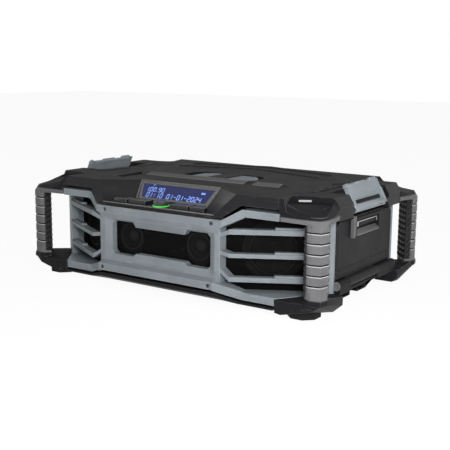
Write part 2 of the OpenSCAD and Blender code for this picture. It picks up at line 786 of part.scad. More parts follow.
module window_frame() {
    difference() {
        union() {
            block([-frame_hw, -frame_y, frame_low_z - over], [frame_hw, -frame_back_y, frame_end_z + over]);
            side([[-frame_y, frame_low_z], [-low_mid_y, frame_low_z], [-frame_y,
                win_low - win_bevel + over]],
                -low_kink_in_x, low_kink_in_x);
            side([[-frame_y, frame_end_z], [-band_mid_y, frame_end_z], [-frame_y,
                win_high + win_bevel - tongue_h]],
                -kink_in_x + kink_run, kink_in_x - kink_run);
        }
        window_cut();
    }
    window_tongues();
}
module slat(i) {
    z0 = slat_z(slat_low_shares[i]);
    z1 = slat_z(slat_high_shares[i]);
    zm = slat_z(slat_tip_shares[i]);
    xe = post_a_x - post_wide / slat_len + over;
    back = (slat_d - gap) * slat_len;
    xr = slat_in_x + ridge_share * (xe - slat_in_x);
    z_low = min(z0, zm - tip_h);
    z_high = max(z1, zm + tip_h);
    intersection() {
        slab([[tip_x - over, -frame_y + over], [slat_in_x, -slat_y], [xe, slat_front(xe)],
            [xe, slat_front(xe) + back], [slat_in_x, slat_front(slat_in_x) + back],
            [cab_mid_x, -frame_back_y], [tip_x - over, -frame_back_y]], z_low, z_high);
        face([[tip_x - over, zm - tip_h], [slat_in_x, z0], [xe + over, z0], [xe + over, z1],
            [slat_in_x, z1], [tip_x - over, zm + tip_h]], -low_mid_y, -post_b_y);
    }
    xb = xr - 2 * ridge_h;
    ridge_back = back - over;
    slab([[xr, slat_front(xr) + ridge_h], [xe, slat_front(xe) + ridge_h], [xe, slat_front(xe) + ridge_back],
        [xb, slat_front(xb) + ridge_back]], z1 - over, z1 + ridge_h);
}
module outer_post() {
    xe = post_a_x - post_wide / slat_len;
    back = [-slat_slope, 1] / slat_len;
    low = [xe, slat_front(xe)] + slat_d * back;
    high = low + post_return * [1, slat_slope] / slat_len;
    run_y = cab_front(high[0]) - gap - high[1];
    foot = high + run_y / (1 + slat_slope * slat_slope) * [-slat_slope, 1];
    slab([[post_a_x, -post_a_y], [hx, -post_b_y], [hx, -cab_side_y - gap], [cab_turn_x, -cab_turn_y - gap],
        foot, high, low, [xe, slat_front(xe)]], low_top - over, top_end - over);
}
module grille() difference() {
    union() {
        upper_band();
        lower_band();
        window_frame();
        for (k = [0, 1]) mirror([k, 0, 0]) {
            slab(shelf_plan(hx - low_end_out), low_top - shelf_plate, low_top);
            slab(top_shelf_plan(hx - top_end_out), top_end - shelf_plate, top_end);
            outer_post();
            for (i = [0:1:len(slat_low_shares) - 1]) slat(i);
        }
    }
    for (s = [-1, 1]) {
        screw_seat(s * screw_x, band_mid_y, top_mid_z + top_mid_h / 2);
        screw_seat(s * screw_x, low_mid_y, low_mid_z + low_band_h / 2);
    }
}
module screw_seat(x, y, z) translate([x, -y + screw_deep, z]) rotate([90, 0, 0])
    cylinder(r = screw_hole_r, h = screw_deep + over);
module front_grille() color([0.49, 0.52, 0.54]) grille();
module rear_grille() color([0.49, 0.52, 0.54]) rear() grille();
module screw() rotate([90, 0, 0]) difference() {
    cylinder(r = screw_r, h = screw_deep - screw_rim);
    translate([0, 0, screw_deep - 2 * over]) cylinder(r = screw_r / 2, h = 2 * over, $fn = 6);
}
module screw_set() for (s = [-1, 1]) {
    translate([s * screw_x, -band_mid_y + screw_deep, top_mid_z + top_mid_h / 2]) screw();
    translate([s * screw_x, -low_mid_y + screw_deep, low_mid_z + low_band_h / 2]) screw();
}
module grille_screws() color([0.15, 0.15, 0.16]) {
    screw_set();
    rear() screw_set();
}

// Corner guard: upper arms, ribbed post and lower base, drawn at the front right
function post_outline(d) = [[post_in_x - grip_out, -post_out_y + grip_back],
    [post_in_x, -post_out_y + strip_back],
    [post_in_x + post_a_run, -post_out_y + d], [post_out_x - ridge_in - d, -post_out_y + ridge_in + d],
    [post_out_x - d, -post_out_y + facet_run], [post_out_x - strip_back, -post_in_y - over],
    [post_out_x - grip_back, -post_in_y + grip_out]];
module groove_ring(z) translate([0, 0, z]) linear_extrude(groove_h) difference() {
    polygon(post_outline(-over));
    polygon(post_outline(groove_d));
}
module guard_post() difference() {
    slab(post_outline(0), post_z0 - over, post_z1 + over);
    for (i = [0:1:groove_count - 1])
        groove_ring(groove_first + i * (groove_last - groove_first) / (groove_count - 1));
}
module guard_top() {
    lid_edge = [[seam_x + gap, -hy + bevel_in], [seam_x + gap, -hy + notch_y_in - gap],
        [hx - notch_b_x_out, -hy + notch_b_y_in - 2 * gap], [hx - notch_c_x_out, -side_y - gap],
        [lid_side_x - bevel_side_in, -side_y - gap]];
    post_top = [[post_in_x + post_a_run, -post_out_y + collar_in], [post_out_x - ridge_in - collar_in,
        -post_out_y + ridge_in + collar_in],
        [post_out_x - collar_in, -post_out_y + facet_run]];
    arm_top_x = hx - arm_top_out;
    arm_start_x = hx - arm_start_x_out;
    // Sloped web from the lid corner to the post
    solid(concat([for (p = lid_edge) [p[0], p[1], web_high]], [for (p = lid_edge) [p[0], p[1], web_z]],
        [for (p = post_top) [p[0], p[1], web_z]], [for (p = post_top) [p[0], p[1], web_z - over]]));
    // Stub that carries the lid's front bevel on
    solid([[seam_low_x + gap, -hy, web_z], [seam_low_x + gap, -hy, rim_z], [seam_x + gap,
        -hy + bevel_in, lid_top],
        [arm_top_x, -hy + bevel_in, lid_top], [arm_start_x, -hy, rim_z], [arm_start_x, -hy, web_z],
        [seam_x + gap, -hy + notch_y_in - gap, lid_top], [seam_x + gap, -hy + notch_y_in - gap, web_z],
        [seam_x + gap, -hy + bevel_in, web_z]]);
    // Front arm
    solid([[arm_top_x, -hy + arm_top_y_in, lid_top - arm_top_drop], [arm_start_x, -hy, rim_z],
        [seam_low_x + stub_in, -hy, arm_z], [seam_low_x + stub_in, -hy + arm_in, arm_z],
        [arm_top_x, -hy + arm_in, lid_top - arm_top_drop], [seam_low_x + stub_in, -hy, web_z],
        [post_in_x + post_a_run, -post_out_y, post_z1 + over], [post_in_x + post_a_run,
            -post_out_y + collar_in, post_z1 + collar_h],
        [post_in_x + post_a_run, -post_out_y + arm_in, post_z1 + collar_h], [post_in_x + post_a_run,
            -post_out_y, arm_z],
        [post_in_x + post_a_run, -post_out_y + arm_in, arm_z]]);
    // Side arm
    solid([[lid_side_x - bevel_side_in, -side_y - gap, lid_top - arm_top_drop], [lid_side_x,
        -side_y - gap, rim_z],
        [lid_side_x, -side_y - gap, arm_z], [lid_side_x - bevel_side_in, -side_y - gap, arm_z],
        [post_out_x, -post_out_y + facet_run, post_z1 + over], [post_out_x - collar_in,
            -post_out_y + facet_run, post_z1 + collar_h],
        [post_out_x - arm_in, -post_out_y + facet_run, post_z1 + collar_h], [post_out_x,
            -post_out_y + facet_run, arm_z],
        [post_out_x - arm_in, -post_out_y + facet_run, arm_z]]);
    // Bevelled head of the post
    hull() {
        slab(post_outline(0), post_z1, post_z1 + over);
        slab(post_outline(collar_in), post_z1 + collar_h - over, post_z1 + collar_h);
    }
}
module guard_base() {
    edge_x = base_edge_x;
    inner = [[edge_x, -base_in_y - gap], [under_x + gap, -base_side_y]];
    // Undercut block with a web that climbs to the finger gap
    difference() {
        solid(concat([for (p = inner) [p[0], p[1], base_mid_z]], [for (p = inner) [p[0], p[1], plate_z]],
            [[edge_x, -hy - base_front_in / 2, base_edge_z], [edge_x, -hy, plate_z],
            [hx - base_cut_x, -hy - base_front_in, plate_z], [lid_side_x - wall, -hy + base_cut_y, plate_z],
            [lid_side_x - 2 * wall, -base_side_y, plate_z], [base_side_x, -base_side_y, base_low_z],
            [base_side_x, -base_side_y, base_edge_z], [hx + 2 * gap, -base_side_y, base_edge_z],
            [hx + 2 * gap, -post_b_y - gap, base_edge_z + 2 * web_lift],
            [post_a_x, -post_a_y - gap, base_edge_z + web_lift],
            [post_out_x, -post_in_y, crest_z], [post_out_x - grip_back, -post_in_y + grip_out, crest_z],
            [post_out_x, -post_in_y + over, base_top], [post_out_x, -post_out_y + facet_run, base_top],
            [post_out_x - ridge_in, -post_out_y + ridge_in, base_top], [post_in_x + post_a_run,
                -post_out_y, base_top],
            [post_in_x + post_a_run, -post_out_y, base_mid_z]]));
        slab([[edge_x - over, -hy - gap], [edge_x, -hy - gap], [post_a_x, -post_a_y - gap],
            [hx + 2 * gap, -post_b_y - gap], [hx + 2 * gap, -base_side_y + over],
            [edge_x - over, -base_side_y + over]], low_top - shelf_plate - gap, crest_z);
    }
    // Flared foot of the post
    hull() {
        slab(post_outline(0), post_z0 + flare_rise + flare_h - over, post_z0 + flare_rise + flare_h);
        slab(post_outline(-flare_out), post_z0 + flare_rise - over, post_z0 + flare_rise);
    }
    slab(post_outline(-flare_out), post_z0 - over, post_z0 + flare_rise);
}
module corner_guard() color([0.2, 0.2, 0.21]) difference() {
    union() {
        guard_post();
        guard_top();
        guard_base();
    }
    translate([foot_x, -foot_y, plate_z - over]) {
        rotate([0, 0, 22.5]) cylinder(r = foot_r + gap, h = foot_seat + over, $fn = 8);
        cylinder(r = wall, h = foot_seat + wall + 2 * over);
    }
}
module corner_guard_fr() corner_guard();
module corner_guard_fl() left() corner_guard();
module corner_guard_rr() rear() corner_guard();
module corner_guard_rl() rear() left() corner_guard();

// Foot: octagonal pad seated in the guard, with a plug
module foot() color([0.05, 0.05, 0.05]) translate([foot_x, -foot_y, 0]) {
    rotate([0, 0, 22.5]) cylinder(r = foot_r, h = foot_top, $fn = 8);
    cylinder(r = wall - run, h = foot_top + wall);
}
module foot_fr() foot();
module foot_fl() left() foot();
module foot_rr() rear() foot();
module foot_rl() rear() left() foot();

// Steel lashing bars in the corner pockets
module lashing_bar() {
    a = [hx - notch_b_x_out + 2 * wall, -hy + notch_b_y_in - 3 * wall];
    b = [hx - notch_c_x_out, -side_y - 2 * wall];
    translate([a[0], a[1], web_high + bar_r]) rotate([0, 90, atan2(b[1] - a[1], b[0] - a[0])])
        cylinder(r = bar_r, h = norm(b - a));
}
module lashing_bars() color([0.75, 0.75, 0.76])
    for (k = [0, 1]) mirror([k, 0, 0]) for (j = [0, 1]) mirror([0, j, 0]) lashing_bar();

// Side latch, drawn on the right
module latch() difference() {
    union() {
        face([[latch_foot_x, latch_foot_z - latch_knuckle], [latch_foot_x + over,
            latch_foot_z + latch_knuckle], [latch_top_x, latch_top_z],
            [latch_top_x - latch_t, latch_top_z], [latch_foot_x - latch_t, latch_foot_z + latch_knuckle],
            [latch_foot_x - latch_t, latch_foot_z - latch_knuckle]], -latch_hw, latch_hw);
        face([[latch_top_x, latch_top_z], [latch_top_x - latch_lip, latch_top_z],
            [latch_top_x - latch_lip, latch_top_z - latch_lip_h],
            [latch_top_x, latch_top_z - latch_lip_h]], -latch_hw + 2 * latch_t, latch_hw - 2 * latch_t);
        translate([latch_pin_x, latch_hw, latch_pin_z]) rotate([90, 0, 0]) cylinder(r = latch_knuckle,
            h = 2 * latch_hw);
    }
    translate([latch_pin_x, latch_hw + over, latch_pin_z]) rotate([90, 0, 0])
        cylinder(r = latch_pin_r + run, h = 2 * (latch_hw + over));
    translate([latch_foot_x + slot_d, 0, slot_z]) rotate([0,
        -atan((latch_foot_x - latch_top_x) / (latch_top_z - latch_foot_z)), 0])
        translate([-2 * slot_d, -slot_hw, 0]) cube([3 * slot_d, 2 * slot_hw, slot_h]);
}
module side_latch_r() color([0.49, 0.52, 0.54]) latch();
module side_latch_l() color([0.49, 0.52, 0.54]) left() latch();
module latch_pin() translate([latch_pin_x, bay_y - gap, latch_pin_z]) rotate([90, 0, 0])
    cylinder(r = latch_pin_r, h = 2 * (bay_y - gap));
module latch_pin_r() color([0.7, 0.7, 0.72]) latch_pin();
module latch_pin_l() color([0.7, 0.7, 0.72]) left() latch_pin();

// Stack lock: block that slides outward in its lid pocket
module stack_lock() {
    z0 = lid_top - lock_deep + gap;
    slab([[lock_in_x + gap, -lock_hy + gap], [lock_in_x + lock_len - lock_cut_in, -lock_hy + gap],
        [lock_in_x + lock_len, -lock_hy + lock_cut_in], [lock_in_x + lock_len, lock_hy - lock_cut_in],
        [lock_in_x + lock_len - lock_cut_in, lock_hy - gap], [lock_in_x + gap, lock_hy - gap]], z0,
            z0 + lock_h);
}
module stack_lock_r() color([0.49, 0.52, 0.54]) stack_lock();
module stack_lock_l() color([0.49, 0.52, 0.54]) left() stack_lock();

// Battery door with its middle knuckle
module battery_door() color([0.19, 0.19, 0.2]) difference() {
    union() {
        side([[-door_hw, door_z], [door_hw, door_z], [door_hw, door_top - door_cut], [door_hw
            - 3 * door_cut / 2, door_top],
            [-door_hw + 3 * door_cut / 2, door_top], [-door_hw, door_top - door_cut]], hx - door_t, hx);
        block([hx - door_t, knuckle_y0, hinge_z], [hx, knuckle_y1, door_z + over]);
        translate([hinge_x, knuckle_y1, hinge_z]) rotate([90, 0, 0]) cylinder(r = knuckle_r,
            h = knuckle_y1 - knuckle_y0);
        block([hx - pull_deep, pull_y0 - wall, pull_z0 - wall], [hx - door_t + over, pull_y1 + wall,
            door_top - wall]);
        solid([for (q = [[0, hx - over], [pull_out, hx + pull_out]]) each [
            [q[1], pull_y0 - 3 * pull_rim + q[0], door_top - gap], [q[1], pull_y0 - 3 * pull_rim + q[0],
                pull_z0 + pull_out],
            [q[1], pull_y0 - 3 * pull_rim + pull_side + q[0] / 2, pull_z0 - pull_rim + q[0]],
            [q[1], pull_y1 + pull_rim - pull_out, pull_z0 - pull_rim + q[0]],
            [q[1], pull_y1 + pull_rim - q[0] / 2, pull_z0 - pull_rim + pull_out + q[0]],
            [q[1], pull_y1 + pull_rim - q[0] / 2, door_top - gap]]]);
    }
    solid([for (q = [[0, hx - door_t], [pull_foot, hx + pull_out + over]]) each [
        [q[1], pull_y0 - q[0], door_top - wall - over], [q[1], pull_y0 - q[0], pull_z0 - q[0]],
        [q[1], pull_y1, pull_z0 - q[0]], [q[1], pull_y1, door_top - wall - over]]]);
    block([hx - pull_deep + pull_floor, pull_y0, pull_z0], [hx + pull_out + over, pull_y1,
        door_top - wall - over]);
    translate([hinge_x, knuckle_y1 + over, hinge_z]) rotate([90, 0, 0])
        cylinder(r = door_pin_r + run, h = knuckle_y1 - knuckle_y0 + 2 * over);
    translate([pull_x, pull_y1 + 2 * wall, pull_pin_z]) rotate([90, 0, 0])
        cylinder(r = pull_pin_r, h = pull_y1 - pull_y0 + 4 * wall);
}
module door_pin() color([0.7, 0.7, 0.72]) translate([hinge_x, barrel_end - wall - gap, hinge_z])
    rotate([90, 0, 0])
    cylinder(r = door_pin_r, h = 2 * (barrel_end - wall - gap));
module door_pull() color([0.16, 0.16, 0.17]) difference() {
    union() {
        translate([pull_x, pull_y1 - pull_clear, pull_pin_z]) rotate([90, 0, 0])
            cylinder(r = pull_eye_r, h = pull_y1 - pull_y0 - 2 * pull_clear);
        block([pull_x - pull_eye_r / 2, pull_y0 + pull_clear, pull_z0 + pull_foot],
            [pull_x + pull_eye_r, pull_y1 - pull_clear, pull_pin_z]);
    }
    translate([pull_x, pull_y1, pull_pin_z]) rotate([90, 0, 0])
        cylinder(r = pull_pin_r + run, h = pull_y1 - pull_y0);
}
module pull_pin() color([0.7, 0.7, 0.72]) translate([pull_x, pull_y1 + wall, pull_pin_z]) rotate([90, 0, 0])
    cylinder(r = pull_pin_r, h = pull_y1 - pull_y0 + 2 * wall);
module pull_bail() color([0.8, 0.8, 0.8]) {
    x = pull_x + pull_eye_r;
    y0 = pull_y0 + pull_clear;
    y1 = pull_y1 - pull_clear;
    for (y = [y0, y1 - bail_w]) block([x, y, pull_z0 + pull_foot], [x + bail_t, y + bail_w, pull_pin_z]);
    block([x, y0, pull_pin_z - bail_w / 2], [x + bail_t, y1, pull_pin_z]);
}

// Fixed cover on the left side
module side_cover() color([0.19, 0.19, 0.2]) left() {
    block([hx - door_t, -door_hw, ledge_z + gap], [hx, door_hw, door_top]);
    for (y = [-bay_hy - 2 * wall, bay_hy])
        block([cab_side_x, y, ledge_z + gap], [hx - door_t + over, y + 2 * wall, door_top]);
}

// Battery bay liner and contact block
module battery_bay() color([0.12, 0.12, 0.13]) difference() {
    block([cab_side_x - wall - bay_len, -bay_hy + gap, bay_z0 + gap], [cab_side_x - gap, bay_hy - gap,
        bay_z1 - gap]);
    block([cab_side_x - wall - bay_len + liner_t, -bay_hy + gap + liner_t, bay_z0 + gap + liner_t],
        [cab_side_x + over, bay_hy - gap - liner_t, bay_z1 - gap - liner_t]);
}
module battery_contacts() color([0.3, 0.3, 0.3]) {
    x0 = cab_side_x - wall - bay_len + liner_t;
    zm = (bay_z0 + bay_z1) / 2;
    block([x0, -contact_w / 2, zm - contact_h / 2], [x0 + contact_t, contact_w / 2, zm + contact_h / 2]);
    for (i = blade_places)
        block([x0 + contact_t, i * blade_step - blade_t / 2, zm - blade_w / 2],
            [x0 + contact_t + blade_len, i * blade_step + blade_t / 2, zm + blade_w / 2]);
}

// Speakers, each drawn with its face on z = 0 and its back downward
module basket(r, rim, deep, foot) difference() {
    union() {
        translate([0, 0, -wall - rim_t - gap]) cylinder(r = r + rim, h = rim_t);
        translate([0, 0, -wall - gap - deep]) cylinder(r1 = foot, r2 = r, h = deep);
    }
    translate([0, 0, -wall - gap - deep - over]) cylinder(r = foot - wall, h = 2 * over + wall);
    translate([0, 0, -wall - gap - deep + wall]) cylinder(r1 = foot - wall, r2 = r - wall, h = deep - wall);
    translate([0, 0, -wall - gap - over]) cylinder(r = r - wall, h = 2 * over);
}
module cone(r, deep, cap) {
    rotate_extrude() polygon([[cap, -deep], [r - wall - gap, -wall], [r - wall - gap, -wall + cone_t],
        [cap, -deep + 2 * cone_t], [0, -deep + cap / 2], [0, -deep + cap / 2 - cone_t]]);
    translate([0, 0, -wall]) difference() {
        cylinder(r = r - gap, h = cone_t);
        translate([0, 0, -over]) cylinder(r = r - wall - 2 * gap, h = cone_t + 2 * over);
    }
}
module woofer_at(s) speaker_place(s * woofer_x, woofer_z, true) children();
module driver_at(s) speaker_place(s * driver_x, driver_z, false) children();
module woofer_basket_r() color([0.15, 0.15, 0.15]) woofer_at(1) basket(woofer_r + surround_w, rim_w,
    basket_d, basket_foot_r);
module woofer_basket_l() color([0.15, 0.15, 0.15]) woofer_at(-1) basket(woofer_r + surround_w, rim_w,
    basket_d, basket_foot_r);
module woofer_cone_r() color([0.08, 0.08, 0.08]) woofer_at(1) cone(woofer_r + surround_w, cone_deep, cap_r);
module woofer_cone_l() color([0.08, 0.08, 0.08]) woofer_at(-1) cone(woofer_r + surround_w, cone_deep,
    cap_r);
module magnet(r, t, deep) translate([0, 0, -wall - gap - deep - t]) cylinder(r = r, h = t);
module woofer_magnet_r() color([0.4, 0.4, 0.42]) woofer_at(1) magnet(magnet_r, magnet_t, basket_d);
module woofer_magnet_l() color([0.4, 0.4, 0.42]) woofer_at(-1) magnet(magnet_r, magnet_t, basket_d);
module driver_basket_r() color([0.15, 0.15, 0.15]) driver_at(1) basket(driver_r, driver_rim_w,
    driver_basket_d, driver_magnet_r);
module driver_basket_l() color([0.15, 0.15, 0.15]) driver_at(-1) basket(driver_r, driver_rim_w,
    driver_basket_d, driver_magnet_r);
module driver_cone_r() color([0.08, 0.08, 0.08]) driver_at(1) cone(driver_r, driver_cone_deep,
    driver_cap_r);
module driver_cone_l() color([0.08, 0.08, 0.08]) driver_at(-1) cone(driver_r, driver_cone_deep,
    driver_cap_r);
module driver_magnet_r() color([0.4, 0.4, 0.42]) driver_at(1) magnet(driver_magnet_r, driver_magnet_t,
    driver_basket_d);
module driver_magnet_l() color([0.4, 0.4, 0.42]) driver_at(-1) magnet(driver_magnet_r, driver_magnet_t,
    driver_basket_d);

// Thin screen in front of the small drivers, and the slotted panel at the rear window
function screen_outline() = window_outline(wall);
module window_screen() color([0.07, 0.07, 0.07]) difference() {
    face(both(screen_outline()), -cab_mid_y - gap / 2, -cab_mid_y);
    for (s = [-1, 1]) translate([s * driver_x, 0, driver_z]) rotate([90, 0, 0])
        cylinder(r = driver_r, h = 2 * hy);
}
module rear_vent_panel() color([0.1, 0.1, 0.1]) rear() difference() {
    face(both(screen_outline()), -frame_back_y, -cab_mid_y);
    for (i = [0:1:vent_slots - 1])
        block([-vent_hx, -hy, win_low + vent_step * (i + 0.5)], [vent_hx, 0,
            win_low + vent_step * (i + 0.5) + vent_slot_h]);
}

// Display, tilted between the back of the shelf and the lid top
disp_angle = atan((shelf_back_y - disp_top_y) / (lid_top - shelf_z));
disp_len = sqrt(pow(shelf_back_y - disp_top_y, 2) + pow(lid_top - shelf_z, 2));
module tilted() translate([0, -shelf_back_y, shelf_z]) rotate([-disp_angle, 0, 0]) rotate([90, 0, 0])
    children();
function disp_outline(d, low) = both([[shelf_back_x - d, low], [disp_top_x - d, disp_len - d]]);
module display_frame_cut() tilted() translate([0, 0, -disp_t - gap]) linear_extrude(disp_t + gap + over / 2)
    polygon(disp_outline(wall / 2, wall / 2));
module display_bezel() color([0.45, 0.44, 0.42]) tilted() translate([0, 0, -disp_t])
    linear_extrude(disp_t + disp_seat) difference() {
    polygon(disp_outline(wall / 2 + gap, wall / 2 + gap));
    polygon(disp_outline(disp_inset, disp_low_inset));
}
module display_module() color([0.2, 0.24, 0.5]) tilted() translate([0, 0, -disp_t])
    linear_extrude(lens_t - gap)
    polygon(disp_outline(disp_inset + gap, disp_low_inset + gap));
module display_lens() color([0.3, 0.35, 0.7]) tilted() translate([0, 0, -lens_t]) linear_extrude(lens_t)
    polygon(disp_outline(disp_inset + gap, disp_low_inset + gap));

// Control board, encoder, knob and keys
module control_board() color([0.1, 0.3, 0.15]) {
    block([-board_hx, -board_y0, board_z], [board_hx, -board_y1, board_z + board_t]);
}
module rotary_encoder() color([0.6, 0.6, 0.6]) translate([0, -key_y, board_z + board_t]) {
    translate([-encoder_w / 2, -encoder_w / 2, 0]) cube([encoder_w, encoder_w, encoder_h]);
    cylinder(r = shaft_r, h = ring_z + ring_h + knob_h - knob_roof - board_z - board_t);
}
module volume_knob() color([0.1, 0.1, 0.1]) translate([0, -key_y, ring_z + ring_h + gap]) difference() {
    cylinder(r = knob_d / 2, h = knob_h);
    translate([0, 0, -over]) cylinder(r = shaft_r + shaft_gap, h = knob_h - knob_roof + over);
    translate([0, 0, -over]) difference() {
        cylinder(r = knob_d / 2 - wall, h = knob_h - knob_roof - over);
        cylinder(r = shaft_r + 2 * over, h = knob_h);
    }
}
module knob_light_ring() color([0.2, 0.8, 0.2]) translate([0, -key_y, ring_z]) difference() {
    cylinder(r = ring_d / 2, h = ring_h);
    translate([0, 0, -over]) cylinder(r = shaft_r * 2 + gap, h = ring_h + 2 * over);
}
module key(x0, x1, cut)
    slab(key_outline(x0, x1, cut, 0), board_z + board_t + key_travel + gap, shelf_z + key_h);
module key_outer_l() color([0.12, 0.12, 0.12]) left() key(key_mid_x + key_split, key_out_x, key_back_run);
module key_inner_l() color([0.12, 0.12, 0.12]) left() key(key_in_x, key_mid_x, 0);
module key_inner_r() color([0.12, 0.12, 0.12]) key(key_in_x, key_mid_x, 0);
module key_outer_r() color([0.12, 0.12, 0.12]) key(key_mid_x + key_split, key_out_x, key_back_run);

// Main board on its standoffs, with the heat sink on top
module main_board() color([0.1, 0.3, 0.15]) {
    block([-main_w / 2, main_y - main_d / 2, main_z], [main_w / 2, main_y + main_d / 2, main_z + board_t]);
    for (x = [-1, 1], y = [-1, 1])
        translate([x * (main_w / 2 - 2 * standoff_r), main_y + y * (main_d / 2 - 2 * standoff_r), cab_z])
            cylinder(r = standoff_r, h = main_z - cab_z);
}
module heat_sink() color([0.7, 0.7, 0.72]) {
    block([-sink_w / 2, main_y - sink_d / 2, main_z + board_t], [sink_w / 2, main_y + sink_d / 2,
        main_z + board_t + fin_base]);
    for (i = [0:1:fin_count - 1])
        block([-sink_w / 2 + i * (sink_w - fin_t) / (fin_count - 1), main_y - sink_d / 2, main_z + board_t],
            [-sink_w / 2 + i * (sink_w - fin_t) / (fin_count - 1) + fin_t, main_y + sink_d / 2,
                main_z + board_t + sink_h]);
}

base_tray();
body_shell();
top_lid();
lid_seal();
front_grille();
rear_grille();
grille_screws();
corner_guard_fr();
corner_guard_fl();
corner_guard_rr();
corner_guard_rl();
foot_fr();
foot_fl();
foot_rr();
foot_rl();
lashing_bars();
side_latch_r();
side_latch_l();
latch_pin_r();
latch_pin_l();
stack_lock_r();
stack_lock_l();
battery_door();
door_pin();
door_pull();
pull_pin();
pull_bail();
side_cover();
battery_bay();
battery_contacts();
woofer_basket_r();
woofer_basket_l();
woofer_cone_r();
woofer_cone_l();
woofer_magnet_r();
woofer_magnet_l();
driver_basket_r();
driver_basket_l();
driver_cone_r();
driver_cone_l();
driver_magnet_r();
driver_magnet_l();
window_screen();
rear_vent_panel();
display_bezel();
display_module();
display_lens();
control_board();
rotary_encoder();
volume_knob();
knob_light_ring();
key_outer_l();
key_inner_l();
key_inner_r();
key_outer_r();
main_board();
heat_sink();
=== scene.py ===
import json
import math

import bpy
import bmesh
from mathutils import Matrix, Vector


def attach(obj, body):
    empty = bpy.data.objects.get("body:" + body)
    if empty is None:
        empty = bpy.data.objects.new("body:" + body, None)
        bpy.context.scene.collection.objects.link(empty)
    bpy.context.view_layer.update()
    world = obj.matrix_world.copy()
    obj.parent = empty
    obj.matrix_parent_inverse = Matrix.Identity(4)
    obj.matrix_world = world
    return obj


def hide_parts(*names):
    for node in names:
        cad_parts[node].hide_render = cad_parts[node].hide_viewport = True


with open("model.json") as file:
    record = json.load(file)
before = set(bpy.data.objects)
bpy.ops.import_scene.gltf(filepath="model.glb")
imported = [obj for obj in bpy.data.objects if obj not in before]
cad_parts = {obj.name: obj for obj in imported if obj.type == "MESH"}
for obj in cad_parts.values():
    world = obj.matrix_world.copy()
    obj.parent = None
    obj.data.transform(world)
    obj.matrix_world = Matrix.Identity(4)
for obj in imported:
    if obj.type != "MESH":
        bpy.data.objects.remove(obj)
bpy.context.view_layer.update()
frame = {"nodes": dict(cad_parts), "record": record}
nodes = frame["nodes"]
record = frame["record"]
body_of = {n: body for body, members in record["behaviour"]["bodies"].items() for n in members}
slot_of = {part["node"]: part["material_slot"] for part in record["subparts"]}
bpy.ops.object.select_all(action="DESELECT")

MM = 0.001
RADIO = "radio_body"
CORNERS = ("fr", "fl", "rr", "rl")
finishes = {}


# Materials, measured in metres

MIDDLE = (0.3, 0.7)  # the span that most of a noise lies in
INNER = (0.35, 0.65)  # a narrower one, for firmer patches
MOTTLE_SCALE, MOTTLE_SHARES = 24, (0.88, 1.12)
SCUFFS = (  # cells per metre, stretch, the noise where a scuff starts and is full, strength
    (40, (1, 14, 9), 0.66, 0.74, 0.30),
    (46, (11, 1, 13), 0.67, 0.75, 0.26),
)
# Heights and edge softness of the posts' lighter colour, a painted sheen
POST_SHEEN_LEVELS, POST_SHEEN_SOFT = (0.0335, 0.1465), 0.001
GROOVES, FIRST_GROOVE, GROOVE_STEP = 6, 0.0532, 0.01514
# Painted highlight on the edge just below each groove, then painted shade filling the groove
GROOVE_HIGHLIGHT_AND_SHADE = (  # from and to beside the groove's level, softness, colour
    (-0.0014, -0.0003, 0.0004, (0.36, 0.36, 0.37)),
    (-0.0001, 0.0018, 0.0002, (0.002, 0.002, 0.002)),
)
DUST_COLOUR = (0.30, 0.29, 0.27)
STAIN_COLOUR = (0.25, 0.22, 0.2)
WORN_GREY = (0.42, 0.45, 0.47)


def new_finish(slot):
    """A material with its Principled shader, its tree and its object coordinates."""
    mat = bpy.data.materials.new(slot)
    mat.use_nodes = True
    finishes[slot] = mat
    tree = mat.node_tree
    shader = tree.nodes["Principled BSDF"]
    coords = tree.nodes.new("ShaderNodeTexCoord").outputs["Object"]
    return tree, shader, coords


def noise(tree, coords, scale, detail=2.0, stretch=None, rough=0.5):
    """Noise on object coordinates, scale in cells per metre, stretched along the axes if asked."""
    if stretch:
        mapping = tree.nodes.new("ShaderNodeMapping")
        mapping.inputs["Scale"].default_value = stretch
        tree.links.new(coords, mapping.inputs["Vector"])
        coords = mapping.outputs["Vector"]
    tex = tree.nodes.new("ShaderNodeTexNoise")
    tex.inputs["Scale"].default_value = scale
    tex.inputs["Detail"].default_value = detail
    tex.inputs["Roughness"].default_value = rough
    tree.links.new(coords, tex.inputs["Vector"])
    return tex.outputs["Fac"]


def remap(tree, value, low, high, to_low=0.0, to_high=1.0):
    """The value taken from low..high to to_low..to_high, clamped."""
    node = tree.nodes.new("ShaderNodeMapRange")
    tree.links.new(value, node.inputs["Value"])
    limits = {"From Min": low, "From Max": high, "To Min": to_low, "To Max": to_high}
    for name, number in limits.items():
        node.inputs[name].default_value = number
    return node.outputs["Result"]


def maths(tree, kind, a, b):
    """One Math node; a and b are sockets or numbers."""
    node = tree.nodes.new("ShaderNodeMath")
    node.operation = kind
    for socket, value in zip(node.inputs, (a, b)):
        if isinstance(value, bpy.types.NodeSocket):
            tree.links.new(value, socket)
        else:
            socket.default_value = value
    return node.outputs["Value"]


def blend_colour(tree, amount, a, b):
    """Colour a turning into colour b by the amount; each is a socket or an RGB triple."""
    node = tree.nodes.new("ShaderNodeMix")
    node.data_type = "RGBA"
    tree.links.new(amount, node.inputs["Factor"])
    for socket, value in ((node.inputs["A"], a), (node.inputs["B"], b)):
        if isinstance(value, bpy.types.NodeSocket):
            tree.links.new(value, socket)
        else:
            socket.default_value = (*value, 1)
    return node.outputs["Result"]


def times(colour, share):
    """A darker or lighter shade of an RGB triple."""
    return tuple(c * share for c in colour)


